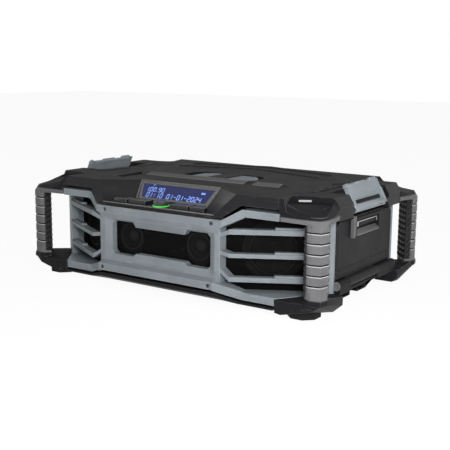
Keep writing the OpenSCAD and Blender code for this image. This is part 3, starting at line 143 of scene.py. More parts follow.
def worn_edges(tree, coords, radius, gain):
    """How much an edge is rubbed: the turn of the normal within the radius, broken up by noise."""
    samples, turns, patch_scale, least_patch = 4, (0.01, 0.16), 160, 0.35
    bevel = tree.nodes.new("ShaderNodeBevel")
    bevel.samples = samples
    bevel.inputs["Radius"].default_value = radius
    plain = tree.nodes.new("ShaderNodeNewGeometry")
    dot = tree.nodes.new("ShaderNodeVectorMath")
    dot.operation = "DOT_PRODUCT"
    tree.links.new(bevel.outputs["Normal"], dot.inputs[0])
    tree.links.new(plain.outputs["Normal"], dot.inputs[1])
    turn = maths(tree, "SUBTRACT", 1.0, dot.outputs["Value"])
    patches = noise(tree, coords, patch_scale, detail=3)
    patchy = remap(tree, patches, *MIDDLE, least_patch, 1.0)
    return maths(tree, "MULTIPLY", remap(tree, turn, *turns, 0.0, gain), patchy)


def surface_bump(tree, shader, height, depth):
    """Bump of the given depth in metres on the shader's normal."""
    bump = tree.nodes.new("ShaderNodeBump")
    bump.inputs["Strength"].default_value = 1.0
    bump.inputs["Distance"].default_value = depth
    tree.links.new(height, bump.inputs["Height"])
    tree.links.new(bump.outputs["Normal"], shader.inputs["Normal"])


def third_part(tree, vector):
    """The vector's upright component."""
    split = tree.nodes.new("ShaderNodeSeparateXYZ")
    tree.links.new(vector, split.inputs["Vector"])
    return split.outputs["Z"]


def upward(tree, low, high):
    """How far a face looks up, from nought to one between the two heights of its normal."""
    face = tree.nodes.new("ShaderNodeNewGeometry")
    return remap(tree, third_part(tree, face.outputs["Normal"]), low, high)


def level_band(tree, coords, low, high, soft):
    """One between two heights above the floor, nought outside."""
    level = third_part(tree, coords)
    return maths(tree, "MULTIPLY", remap(tree, level, low - soft, low + soft),
                 remap(tree, level, high - soft, high + soft, 1.0, 0.0))


def mottled(tree, patches, colour):
    """The colour in soft darker and lighter patches."""
    return blend_colour(tree, patches, *[times(colour, share) for share in MOTTLE_SHARES])


def moulded(slot, base, worn, rough, depth=0.00006, edge=0.6, specular=0.5, dust=0.0,
            matt_top=0.0, post_sheen=None):
    """Moulded plastic: spark-eroded grain, mottling, fine scuffs, rubbed edges (on pale-edged
    finishes also a painted highlight), a little dust on top, and on request a rougher top and posts
    in a lighter colour, a painted sheen, with a painted highlight and painted shade at each ringed
    groove."""
    rub_radius, rub_polish, polish_below, polish_above = 0.0012, 0.12, 0.05, 0.07
    grain_scale, grain_rough = 900, 0.65
    dust_slopes, dust_scale, dust_noise, least_dust = (0.6, 1.0), 90, (0.35, 0.75), 0.2
    top_slopes = (0.85, 0.97)
    tree, shader, coords = new_finish(slot)
    mottle = noise(tree, coords, MOTTLE_SCALE, detail=4)
    patches = remap(tree, mottle, *MIDDLE)
    colour = mottled(tree, patches, base)
    # Posts in a lighter colour: a painted sheen standing for a lamp's reflection on them
    if post_sheen:
        sheen_zone = level_band(tree, coords, *POST_SHEEN_LEVELS, POST_SHEEN_SOFT)
        colour = blend_colour(tree, sheen_zone, colour, mottled(tree, patches, post_sheen))
    scuffs = maths(tree, "MAXIMUM", *[
        remap(tree, noise(tree, coords, scale, detail=3, stretch=stretch), start, full, 0.0, most)
        for scale, stretch, start, full, most in SCUFFS])
    colour = blend_colour(tree, scuffs, colour, worn)
    # Rubbed edges take the worn colour: wear, and where that colour is pale with a strong gain, as
    # on the guards, a painted highlight too
    rub = worn_edges(tree, coords, rub_radius, edge)
    colour = blend_colour(tree, rub, colour, worn)
    # Painted highlight on the edge below each groove and painted shade filling the groove
    if post_sheen:
        for i in range(GROOVES):
            ring = FIRST_GROOVE + i * GROOVE_STEP
            for low, high, soft, painted_tone in GROOVE_HIGHLIGHT_AND_SHADE:
                painted_band = level_band(tree, coords, ring + low, ring + high, soft)
                colour = blend_colour(tree, painted_band, colour, painted_tone)
    if dust:
        specks = noise(tree, coords, dust_scale, detail=5)
        specks = remap(tree, specks, *dust_noise, least_dust, 1.0)
        lying = maths(tree, "MULTIPLY", upward(tree, *dust_slopes), dust)
        colour = blend_colour(tree, maths(tree, "MULTIPLY", lying, specks), colour, DUST_COLOUR)
    tree.links.new(colour, shader.inputs["Base Color"])
    polish = remap(tree, mottle, *MIDDLE, rough - polish_below, rough + polish_above)
    polish = maths(tree, "SUBTRACT", polish, maths(tree, "MULTIPLY", rub, rub_polish))
    polish = maths(tree, "ADD", polish, scuffs)
    if matt_top:
        top = maths(tree, "MULTIPLY", upward(tree, *top_slopes), matt_top)
        polish = maths(tree, "ADD", polish, top)
    tree.links.new(polish, shader.inputs["Roughness"])
    shader.inputs["Specular IOR Level"].default_value = specular
    grain = noise(tree, coords, grain_scale, detail=3, rough=grain_rough)
    surface_bump(tree, shader, grain, depth)


def rubber(slot, base, rough=0.75, specular=0.12):
    """Moulded rubber: matt, a fine pebbled face, paler where it is chafed."""
    chafe_scale, chafe_noise, most_chafe = 60, (0.45, 0.75), 0.35
    chafe_share, chafe_rough = 2.2, 0.12
    rub_radius, rub_gain, rub_share = 0.001, 0.4, 4
    pebble_scale, pebble_depth = 1500, 0.00008
    tree, shader, coords = new_finish(slot)
    chafe = noise(tree, coords, chafe_scale, detail=4)
    chafe = remap(tree, chafe, *chafe_noise, 0.0, most_chafe)
    colour = blend_colour(tree, chafe, base, times(base, chafe_share))
    rub = worn_edges(tree, coords, rub_radius, rub_gain)
    colour = blend_colour(tree, rub, colour, times(base, rub_share))
    tree.links.new(colour, shader.inputs["Base Color"])
    polish = remap(tree, chafe, 0.0, most_chafe, rough, rough + chafe_rough)
    tree.links.new(polish, shader.inputs["Roughness"])
    shader.inputs["Specular IOR Level"].default_value = specular
    surface_bump(tree, shader, noise(tree, coords, pebble_scale), pebble_depth)


def metal(slot, base, rough, stretch=(1, 1, 1)):
    """Drawn or turned metal: brushing along one axis, faint tarnish, bright rubbed edges."""
    brush_scale, brush_depth, polish_below, polish_above = 300, 0.00003, 0.08, 0.12
    stain_scale, stain_noise, most_stain = 90, (0.5, 0.8), 0.35
    rub_radius, rub_gain, rub_share = 0.0006, 0.6, 1.4
    tree, shader, coords = new_finish(slot)
    brush = noise(tree, coords, brush_scale, stretch=stretch)
    stain = noise(tree, coords, stain_scale, detail=4)
    stain = remap(tree, stain, *stain_noise, 0.0, most_stain)
    colour = blend_colour(tree, stain, base, STAIN_COLOUR)
    rub = worn_edges(tree, coords, rub_radius, rub_gain)
    colour = blend_colour(tree, rub, colour, times(base, rub_share))
    tree.links.new(colour, shader.inputs["Base Color"])
    shader.inputs["Metallic"].default_value = 1
    polish = remap(tree, brush, *MIDDLE, rough - polish_below, rough + polish_above)
    tree.links.new(polish, shader.inputs["Roughness"])
    surface_bump(tree, shader, brush, brush_depth)


def glowing(slot, base, light, strength=1.0, rough=0.3, specular=0.5):
    """A lit panel: faint cells in its colour, a soft glow that fades in patches."""
    cell_scale, cell_share, cell_depth, cell_rough = 1400, 0.8, 0.00001, 0.15
    glow_scale, glow_share = 14, 0.7
    tree, shader, coords = new_finish(slot)
    cells = noise(tree, coords, cell_scale, detail=1)
    colour = blend_colour(tree, remap(tree, cells, *INNER), times(base, cell_share), base)
    tree.links.new(colour, shader.inputs["Base Color"])
    fading = remap(tree, noise(tree, coords, glow_scale, detail=1), *INNER)
    glow = blend_colour(tree, fading, times(light, glow_share), light)
    tree.links.new(glow, shader.inputs["Emission Color"])
    shader.inputs["Emission Strength"].default_value = strength
    shader.inputs["Specular IOR Level"].default_value = specular
    polish = remap(tree, cells, *MIDDLE, rough, rough + cell_rough)
    tree.links.new(polish, shader.inputs["Roughness"])
    surface_bump(tree, shader, cells, cell_depth)


def grey(level):
    return (level, level, level)


def make_finishes():
    """Each slot's finish: base colour, colour where worn, roughness, and what differs."""
    moulded("lid_plastic", (0.010, 0.010, 0.011), grey(0.12), 0.38, specular=0.14, dust=0.004,
            matt_top=0.42)
    moulded("tray_plastic", (0.008, 0.008, 0.009), grey(0.07), 0.50, specular=0.1)
    # Guards: the pale worn colour and strong edge gain give wear and also a painted highlight along
    # the edges; the posts' lighter colour is a painted sheen
    moulded("guard_plastic", (0.009, 0.009, 0.010), (0.18, 0.18, 0.19), 0.42, edge=0.8,
            specular=0.07, matt_top=0.3, post_sheen=(0.105, 0.105, 0.108))
    moulded("cabinet_plastic", grey(0.003), grey(0.03), 0.5, specular=0.03)
    moulded("grille_plastic", (0.152, 0.172, 0.185), WORN_GREY, 0.44, specular=0.35)
    moulded("latch_plastic", (0.175, 0.198, 0.213), WORN_GREY, 0.42, edge=0.7, specular=0.2,
            matt_top=0.4)
    moulded("door_plastic", (0.010, 0.010, 0.011), grey(0.10), 0.44, specular=0.1)
    moulded("knob_plastic", (0.006, 0.006, 0.007), grey(0.20), 0.18, depth=0.00002)
    moulded("bezel_plastic", (0.09, 0.089, 0.085), (0.34, 0.33, 0.32), 0.4, specular=0.2)
    moulded("contact_plastic", grey(0.05), (0.15, 0.14, 0.12), 0.5)
    moulded("key_plastic", (0.005, 0.005, 0.006), grey(0.45), 0.3, edge=1.0, specular=0.4)
    rubber("seal_rubber", grey(0.012))
    rubber("foot_rubber", grey(0.010))
    rubber("cone_fabric", grey(0.005), 0.6, 0.05)
    metal("screw_steel", (0.10, 0.10, 0.105), 0.35)
    metal("pin_steel", (0.62, 0.62, 0.63), 0.25, (1, 12, 1))
    metal("basket_steel", grey(0.06), 0.5)
    metal("magnet_steel", (0.35, 0.35, 0.36), 0.4)
    metal("encoder_metal", grey(0.55), 0.3)
    metal("sink_aluminium", (0.7, 0.7, 0.71), 0.35, (1, 14, 1))
    moulded("board_plastic", (0.008, 0.030, 0.012), (0.05, 0.12, 0.06), 0.35)
    glowing("display_panel", (0.01, 0.012, 0.04), (0.012, 0.016, 0.06))
    glowing("display_glass", (0.02, 0.022, 0.06), (0.014, 0.018, 0.060), 1.0, 0.25, 0.08)
    glowing("display_digits", (0.2, 0.3, 0.7), (0.15, 0.28, 0.75))
    # A lighter copy of the dark plastics: a painted highlight on the pieces it is given to
    moulded("painted_highlight_plastic", (0.085, 0.085, 0.087), grey(0.3), 0.4, edge=0.9, specular=0.12,
            matt_top=0.4)
    rubber("grip_rubber", grey(0.010), 0.4, 0.3)
    rubber("roll_rubber", grey(0.005), 0.5)
    glowing("ring_plastic", (0.05, 0.55, 0.06), (0.06, 0.55, 0.05), 0.45)


# Pieces made from the frame's own shapes, measured in millimetres and degrees

ROUNDED = (  # width of the round, whether coplanar faces are merged first, nodes
    (0.7, True, ("top_lid", "side_cover", "base_tray")),
    (0.6, False, ("front_grille", "rear_grille", "battery_door")),
    (0.7, True, ["corner_guard_" + corner for corner in CORNERS]),
    (0.8, True, ["side_latch_r", "side_latch_l", "stack_lock_r", "stack_lock_l"]
     + ["foot_" + corner for corner in CORNERS]),
    (0.5, True, ("display_bezel", "door_pull", "pull_bail")),
    (1.0, True, ("key_outer_l", "key_inner_l", "key_inner_r", "key_outer_r")),
)
COARSE, FINE = 2, 3  # segments of a rounded edge
WELD = 0.01
COPLANAR = 0.3
LEAST_LENGTH = 4.0  # of an edge that is rounded, in widths of the round
LEAST_FOLD = 24
MOULDING_SMOOTH, PIECE_SMOOTH, ROUND_SMOOTH = 32, 38, 50


def settle(piece, body, slot, finish=None):
    """Gives a finished piece its finish and lets it ride on its body."""
    piece.data.materials.clear()
    piece.data.materials.append(finishes[finish or slot])
    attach(piece, body)


def softened(name, width, merged):
    """A copy of a node with its outer moulded edges rounded over, standing for the node."""
    piece = nodes[name].copy()
    piece.data = nodes[name].data.copy()
    piece.parent = None
    for key in list(piece.keys()):
        del piece[key]
    piece.name = piece.data.name = name + "_moulding"
    bpy.context.scene.collection.objects.link(piece)
    bpy.context.view_layer.objects.active = piece
    piece.select_set(True)
    bpy.ops.object.mode_set(mode="EDIT")
    bpy.ops.mesh.select_all(action="SELECT")
    bpy.ops.mesh.remove_doubles(threshold=WELD * MM)
    if merged:
        bpy.ops.mesh.dissolve_limited(angle_limit=math.radians(COPLANAR))
    bpy.ops.object.mode_set(mode="OBJECT")
    shape = bmesh.new()
    shape.from_mesh(piece.data)
    weight = shape.edges.layers.float.new("bevel_weight_edge")
    for edge in shape.edges:
        if len(edge.link_faces) == 2 and edge.calc_length() > LEAST_LENGTH * width:
            if edge.calc_face_angle_signed(0) > math.radians(LEAST_FOLD):
                edge[weight] = 1
    shape.to_mesh(piece.data)
    shape.free()
    bevel = piece.modifiers.new("edge", "BEVEL")
    bevel.limit_method = "WEIGHT"
    bevel.width = width
    bevel.segments = COARSE
    bevel.use_clamp_overlap = False
    bevel.miter_outer = "MITER_ARC"
    bpy.ops.object.modifier_apply(modifier="edge")
    bpy.ops.object.shade_smooth_by_angle(angle=math.radians(MOULDING_SMOOTH))
    flat = piece.modifiers.new("flat", "WEIGHTED_NORMAL")
    flat.keep_sharp = True
    bpy.ops.object.modifier_apply(modifier="flat")
    piece.select_set(False)
    settle(piece, body_of[name], slot_of[name])
    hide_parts(name)


def mouldings():
    """Rounded copies of the moulded nodes, and a finish on every node."""
    for width, merged, names in ROUNDED:
        for name in names:
            softened(name, width * MM, merged)
    for name, node in nodes.items():
        node.data.materials.clear()
        node.data.materials.append(finishes[slot_of[name]])


# New pieces, measured in millimetres and degrees. A table of blocks gives each one's name, low
# and high corner, and trimming planes as a point and an outward normal.

FLIP_X = Matrix.Scale(-1, 4, (1, 0, 0))
FLIP_Y = Matrix.Scale(-1, 4, (0, 1, 0))
PIECE_FOLD = 25
ALONG, ASKEW = 0.9, 0.1  # the least part of a normal along an axis, and the most across it


def begun(name, scale=(1, 1, 1)):
    """Names the primitive just added, sizes it and takes its place into its mesh."""
    piece = bpy.context.object
    piece.name = piece.data.name = name
    piece.scale = scale
    bpy.ops.object.transform_apply(location=True, rotation=True, scale=True)
    return piece


def cylinder(name, sides, radius, depth, place, turn=(0, 0, 0)):
    """A cylinder about its middle, upright unless turned."""
    bpy.ops.object.select_all(action="DESELECT")
    bpy.ops.mesh.primitive_cylinder_add(vertices=sides, radius=radius * MM, depth=depth * MM,
                                        location=[v * MM for v in place], rotation=turn)
    return begun(name)


def block(name, low, high, cuts=()):
    """A block from corner to corner, trimmed by planes."""
    bpy.ops.object.select_all(action="DESELECT")
    bpy.ops.mesh.primitive_cube_add(size=MM,
                                    location=[(a + b) / 2 * MM for a, b in zip(low, high)])
    piece = begun(name, [b - a for a, b in zip(low, high)])
    bpy.ops.object.mode_set(mode="EDIT")
    for point, normal in cuts:
        bpy.ops.mesh.select_all(action="SELECT")
        bpy.ops.mesh.bisect(plane_co=[v * MM for v in point], plane_no=normal, use_fill=True,
                            clear_outer=True)
    bpy.ops.object.mode_set(mode="OBJECT")
    return piece


def bevelled(piece, width, segments=COARSE, fold=PIECE_FOLD):
    """Rounds over the edges that fold by more than the given angle."""
    bpy.context.view_layer.objects.active = piece
    edge = piece.modifiers.new("edge", "BEVEL")
    edge.width = width * MM
    edge.segments = segments
    edge.limit_method = "ANGLE"
    edge.angle_limit = math.radians(fold)
    bpy.ops.object.modifier_apply(modifier="edge")
    piece.select_set(True)
    bpy.ops.object.shade_smooth_by_angle(angle=math.radians(PIECE_SMOOTH))
    piece.select_set(False)
    return piece


def placed(piece, matrix):
    """Moves a piece by its mesh; a mirrored mesh gets its faces turned outwards again."""
    piece.data.transform(matrix)
    if matrix.to_3x3().determinant() < 0:
        piece.data.flip_normals()
    return piece


def twin(piece, name, matrix):
    """A copy with its own mesh at another place."""
    copy = piece.copy()
    copy.data = piece.data.copy()
    copy.name = copy.data.name = name
    bpy.context.scene.collection.objects.link(copy)
    return placed(copy, matrix)


def joined(pieces, name):
    """The pieces as one."""
    bpy.ops.object.select_all(action="DESELECT")
    for piece in pieces:
        piece.select_set(True)
    bpy.context.view_layer.objects.active = pieces[0]
    if len(pieces) > 1:
        bpy.ops.object.join()
    pieces[0].name = pieces[0].data.name = name
    pieces[0].select_set(False)
    return pieces[0]


def built(table, name, width):
    """The blocks of a table, with rounded edges, as one piece."""
    blocks = [block(*row) for row in table]
    for piece in blocks:
        bevelled(piece, width)
    return joined(blocks, name)


def at(x, y, z):
    return Matrix.Translation((x * MM, y * MM, z * MM))


def turned(angle, axis):
    return Matrix.Rotation(angle, 4, axis)


def four_corners(piece, stem, body, slot, finish=None):
    """Settles a front right piece and its three mirrored twins."""
    for suffix, matrix in (("fl", FLIP_X), ("rr", FLIP_Y), ("rl", FLIP_X @ FLIP_Y)):
        settle(twin(piece, stem + "_" + suffix, matrix), body, slot, finish)
    piece.name = piece.data.name = stem + "_fr"
    settle(piece, body, slot, finish)


def pick_faces(piece, wanted):
    """Selects only the wanted faces of a piece in edit mode."""
    shape = bmesh.from_edit_mesh(piece.data)
    for face in shape.faces:
        face.select = wanted(face)
    bmesh.update_edit_mesh(piece.data)


# Corner posts

POST_A, POST_B, POST_C, POST_D = (280.3, -148.0), (273.9, -140.2), (250.4, -164.2), (257.2, -170.6)
GRIP_LEVELS, GRIP_ROWS, GRIP_PEAK, GRIP_THICK, GRIP_PROUD = (37, 138), 11, 2.0, 0.8, 0.3
GRIPS = (  # name, start and end on the post's section, columns of pyramids
    ("grip_a", POST_A, POST_B, 1),
    ("grip_b", POST_B, POST_C, 3),
    ("grip_c", POST_C, POST_D, 1),
)
BEAD_LEVELS, BEAD_HALF_WIDE, BEAD_HALF_THICK, BEAD_EDGE = (40, 137), 2.6, 0.9, 0.9
BEAD_POINT = (0.8, -0.6)  # across and up, the normal of the trimmed end
BEADS = ((POST_D, (266.0, -173.5)), ((283.2, -155.8), POST_A))


def grip_panel(name, start, end, columns):
    """Pyramid grip on one face of a post, between two points of the post's section."""
    low, high = GRIP_LEVELS
    run = Vector((end[0] - start[0], end[1] - start[1], 0))
    middle = ((start[0] + end[0]) / 2, (start[1] + end[1]) / 2, (low + high) / 2)
    bpy.ops.object.select_all(action="DESELECT")
    bpy.ops.mesh.primitive_grid_add(x_subdivisions=columns, y_subdivisions=GRIP_ROWS, size=MM,
                                    location=[v * MM for v in middle],
                                    rotation=(math.pi / 2, 0, math.atan2(run.y, run.x)))
    piece = begun(name, (run.length, high - low, 1))
    bpy.ops.object.mode_set(mode="EDIT")
    bpy.ops.mesh.select_all(action="SELECT")
    bpy.ops.mesh.quads_convert_to_tris(quad_method="FIXED_ALTERNATE")
    bpy.ops.mesh.poke(offset=GRIP_PEAK * MM)
    bpy.ops.mesh.select_all(action="SELECT")
    bpy.ops.mesh.region_to_loop()
    out = run.normalized().cross(Vector((0, 0, 1)))
    inwards = tuple(-GRIP_THICK * MM * out)
    bpy.ops.mesh.extrude_region_move(TRANSFORM_OT_translate={"value": inwards})
    bpy.ops.object.mode_set(mode="OBJECT")
    return placed(piece, Matrix.Translation(GRIP_PROUD * MM * out))


def post_grips():
    """Grip on the faces of each post that a hand closes round."""
    panels = [grip_panel(*row) for row in GRIPS]
    four_corners(joined(panels, "post_grip"), "post_grip", RADIO, "guard_plastic", "grip_rubber")


def post_beads():
    """Raised smooth strip beside the grip on each post, pointed at its lower end."""
    low, high = BEAD_LEVELS
    across, up = BEAD_POINT
    point = [((0, 0, low), (side * across, 0, up)) for side in (1, -1)]
    strips = []
    for start, end in BEADS:
        run = Vector((end[0] - start[0], end[1] - start[1], 0)).normalized()
        out = run.cross(Vector((0, 0, 1)))
        piece = block("bead", (-BEAD_HALF_WIDE, -BEAD_HALF_THICK, low),
                      (BEAD_HALF_WIDE, BEAD_HALF_THICK, high), point)
        bevelled(piece, BEAD_EDGE, FINE)
        turn = Matrix(((run.x, -out.x, 0, 0), (run.y, -out.y, 0, 0), (0, 0, 1, 0), (0, 0, 0, 1)))
        middle = at((start[0] + end[0]) / 2, (start[1] + end[1]) / 2, 0)
        strips.append(placed(piece, middle @ turn))
    four_corners(joined(strips, "post_bead"), "post_bead", RADIO, "guard_plastic")


# Display, drawn flat: across, up and out of the screen

SCREEN_RISE, SCREEN_RUN = 25.2, 27.6
SCREEN = at(0, -147.3, 142.9) @ turned(math.pi / 2 - math.atan2(SCREEN_RISE, SCREEN_RUN), "X")
LIT_BACK, LIT_FRONT = -0.05, 0.12
BAR_LONG, BAR_THICK, BAR_GAP = 4.3, 1.05, 0.15
DOT_HALF, DOT_TRIM, POINT_SHIFT, COLON_HALF = 0.7, 0.5, 1.4, 1.8
FIGURE_STEP = 6.85
FIGURE_ROWS = (("100.90", -57.0, 21.0, 0.86), ("01:10 01-01-2024", -52.5, 10.6, 0.98))
# lit bars of each figure
SEGMENTS = {"0": "abcdef", "1": "bc", "2": "abdeg", "4": "bcfg", "9": "abcdfg", "-": "g"}
CELLS, CELL_STEP, CELL_LOW, CELL_HIGH = 3, 2.6, (48.5, 21.4), (50.4, 24.6)
TICKS, TICK_STEP, TICK_LOW, TICK_HIGH = 2, (1.9, 1), (-49.5, 28.2), (-48.4, 30.0)
RIM_EDGE, RIM_BACK, RIM_FRONT = 0.7, -0.6, 1.6
RIM_HALF_WIDE, RIM_LEVELS, RIM_FOOT_X, RIM_LEAN = 1.2, (-1.5, 36.5), 69.8, (8.0, 37.37, 0)
TOP_RIM_HALF_LONG, TOP_RIM_LEVELS = 78.2, (35.2, 37.6)


def digits():
    """Plain seven-segment figures and a cell gauge, lit on the face of the display."""
    half = BAR_LONG / 2
    bar = block("bar", (-half + BAR_GAP, -BAR_THICK / 2, LIT_BACK),
                (half - BAR_GAP, BAR_THICK / 2, LIT_FRONT),
                [((s * half, 0, 0), (s, t, 0)) for s in (-1, 1) for t in (-1, 1)])
    across = turned(math.pi / 2, "Z")
    # each bar's middle, and whether it stands upright
    spots = {"a": (0, BAR_LONG, 0), "b": (half, half, 1), "c": (half, -half, 1),
             "d": (0, -BAR_LONG, 0), "e": (-half, -half, 1), "f": (-half, half, 1),
             "g": (0, 0, 0)}
    dot = block("dot", (-DOT_HALF, -DOT_HALF, LIT_BACK), (DOT_HALF, DOT_HALF, LIT_FRONT),
                [((s * DOT_TRIM, s * DOT_TRIM, 0), (s, s, 0)) for s in (1, -1)])
    parts = []
    for text, x, level, scale in FIGURE_ROWS:
        for mark in text:
            shift = half / 2 if mark == "1" else 0
            spot = at(x - shift, level, 0) @ Matrix.Diagonal((1, scale, 1, 1))
            for key in SEGMENTS.get(mark, ""):
                u, v, upright = spots[key]
                turn = across if upright else Matrix()
                parts.append(twin(bar, "bar_copy", spot @ at(u, v, 0) @ turn))
            if mark == ".":
                parts.append(twin(dot, "dot_copy", spot @ at(-POINT_SHIFT, -BAR_LONG, 0)))
            if mark == ":":
                parts += [twin(dot, "dot_copy", spot @ at(0, v, 0))
                          for v in (-COLON_HALF, COLON_HALF)]
            x += FIGURE_STEP * 0.5 if mark == "." else FIGURE_STEP
    for i in range(CELLS):
        parts.append(block("cell", (CELL_LOW[0] + CELL_STEP * i, CELL_LOW[1], LIT_BACK),
                           (CELL_HIGH[0] + CELL_STEP * i, CELL_HIGH[1], LIT_FRONT)))
    for i in range(TICKS):
        low, high = [[a + b * i for a, b in zip(corner, TICK_STEP)]
                     for corner in (TICK_LOW, TICK_HIGH)]
        parts.append(block("tick", (*low, LIT_BACK), (*high, LIT_FRONT)))
    bpy.data.objects.remove(bar)
    bpy.data.objects.remove(dot)
    settle(placed(joined(parts, "display_digits"), SCREEN), RADIO, "display_panel",
           "display_digits")


def display_surround():
    """Raised rim beside and above the display, in the lighter plastic of a painted highlight."""
    low, high = RIM_LEVELS
    lean = Vector(RIM_LEAN).normalized()
    bars = []
    for s in (-1, 1):
        bars.append(block("rim", (-RIM_HALF_WIDE, low, RIM_BACK), (RIM_HALF_WIDE, high, RIM_FRONT)))
        placed(bars[-1], at(s * RIM_FOOT_X, 0, 0) @ turned(-s * math.atan2(lean.x, lean.y), "Z"))
    low, high = TOP_RIM_LEVELS
    bars.append(block("rim", (-TOP_RIM_HALF_LONG, low, RIM_BACK),
                      (TOP_RIM_HALF_LONG, high, RIM_FRONT)))
    for bar in bars:
        bevelled(bar, RIM_EDGE)
    settle(placed(joined(bars, "display_rim"), SCREEN), RADIO, "lid_plastic", "painted_highlight_plastic")


# Controls

KNOB_SIDES, KNOB_RADIUS, KNOB_HIGH, KNOB_PLACE = 72, 11.6, 6.5, (0, -171.5, 145.85)
RIB_EVERY, RIB_PROUD = 3, 0.4
KNOB_RIM, DISH_SLOPE, DISH_DEEP, KNOB_EDGE, KNOB_FOLD = 1.4, 1.0, 0.7, 0.25, 30
RIB_CORNERS = 8  # the most that a face of a rib has
TELL_SIDES, TELL_RADIUS, TELL_HIGH, TELL_PLACE, TELL_EDGE = 20, 1.3, 1.4, (15, -163, 141.6), 0.5


def knob():
    """Glossy volume knob: dished top, fine ribs round its side."""
    piece = cylinder("volume_knob_cap", KNOB_SIDES, KNOB_RADIUS, KNOB_HIGH, KNOB_PLACE)
    bpy.ops.object.mode_set(mode="EDIT")
    shape = bmesh.from_edit_mesh(piece.data)
    bpy.ops.mesh.select_all(action="DESELECT")
    shape.faces.ensure_lookup_table()
    sides = sorted((face for face in shape.faces if abs(face.normal.z) < ASKEW),
                   key=lambda face: math.atan2(face.normal.y, face.normal.x))
    for face in sides[::RIB_EVERY]:
        face.select = True
    bmesh.update_edit_mesh(piece.data)
    bpy.ops.mesh.extrude_faces_move(TRANSFORM_OT_shrink_fatten={"value": RIB_PROUD * MM})
    bpy.ops.mesh.select_all(action="DESELECT")
    pick_faces(piece, lambda face: face.normal.z > ALONG and len(face.verts) > RIB_CORNERS)
    bpy.ops.mesh.inset(thickness=KNOB_RIM * MM)
    bpy.ops.mesh.inset(thickness=DISH_SLOPE * MM, depth=-DISH_DEEP * MM)
    bpy.ops.object.mode_set(mode="OBJECT")
    bevelled(piece, KNOB_EDGE, fold=KNOB_FOLD)
    settle(piece, body_of["volume_knob"], "knob_plastic")
    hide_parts("volume_knob")


def lamp_dot():
    """Green tell-tale on the shelf."""
    piece = cylinder("tell_tale", TELL_SIDES, TELL_RADIUS, TELL_HIGH, TELL_PLACE)
    settle(bevelled(piece, TELL_EDGE, FINE), RADIO, "ring_plastic")


# Speakers

ROLL_AROUND, ROLL_ACROSS, CAP_AROUND, CAP_RINGS = 64, 14, 36, 18  # faces of a roll and a cap
WOOFER_PLACE, WOOFER_TURN = (180, -130.9, 85.5), 29.0
DRIVER_PLACE, DRIVER_TURN = (67, -164.7, 84.3), 0
WOOFER_ROLL, DRIVER_ROLL = (36, 3.2, -4.6), (21.5, 2.4, -3.0)  # radius, half thickness, level
DRIVER_CAP = (11, 4, -7.0)  # radius, rise, level


def speaker_frame(side, place, turn):
    """Frame of a speaker's face at the front: third axis forward out of the cabinet."""
    x, y, z = place
    return (at(0, 0, z) @ at(side * x, y, 0) @ turned(side * math.radians(turn), "Z")
            @ turned(math.pi / 2, "X"))


def front_part(piece, behind, level):
    """Keeps what lies in front of a plane behind the middle, and takes it to its level."""
    bpy.ops.object.mode_set(mode="EDIT")
    bpy.ops.mesh.select_all(action="SELECT")
    bpy.ops.mesh.bisect(plane_co=(0, 0, -behind * MM), plane_no=(0, 0, -1), use_fill=True,
                        clear_outer=True)
    bpy.ops.object.mode_set(mode="OBJECT")
    bpy.ops.object.shade_smooth_by_angle(angle=math.radians(ROUND_SMOOTH))
    piece.select_set(False)
    return placed(piece, at(0, 0, level))


def half_roll(name, radius, thick, level):
    """A rubber roll: the front half of a ring."""
    bpy.ops.object.select_all(action="DESELECT")
    bpy.ops.mesh.primitive_torus_add(major_segments=ROLL_AROUND, minor_segments=ROLL_ACROSS,
                                     major_radius=radius * MM, minor_radius=thick * MM)
    return front_part(begun(name), thick * 0.5, level)


def dust_cap(name, radius, rise, level):
    """A shallow dome over the middle of a cone."""
    bpy.ops.object.select_all(action="DESELECT")
    bpy.ops.mesh.primitive_uv_sphere_add(segments=CAP_AROUND, ring_count=CAP_RINGS,
                                         radius=radius * MM)
    piece = begun(name)
    bpy.ops.object.mode_set(mode="EDIT")
    bpy.ops.mesh.select_all(action="SELECT")
    bpy.ops.transform.resize(value=(1, 1, rise / radius))
    bpy.ops.object.mode_set(mode="OBJECT")
    return front_part(piece, 0, level)


def speakers():
    """Rolls on the woofers, rolls and dust caps on the drivers."""
    for side, suffix in ((-1, "l"), (1, "r")):
        roll = half_roll("woofer_front_" + suffix, *WOOFER_ROLL)
        settle(placed(roll, speaker_frame(side, WOOFER_PLACE, WOOFER_TURN)),
               body_of["woofer_cone_" + suffix], "cone_fabric", "roll_rubber")
        fronts = [half_roll("roll", *DRIVER_ROLL), dust_cap("cap", *DRIVER_CAP)]
        settle(placed(joined(fronts, "driver_front_" + suffix),
                      speaker_frame(side, DRIVER_PLACE, DRIVER_TURN)),
               body_of["driver_cone_" + suffix], "cone_fabric", "roll_rubber")


# Latches, drawn in the frame of the right one's outer face: along the body, up the face, outwards

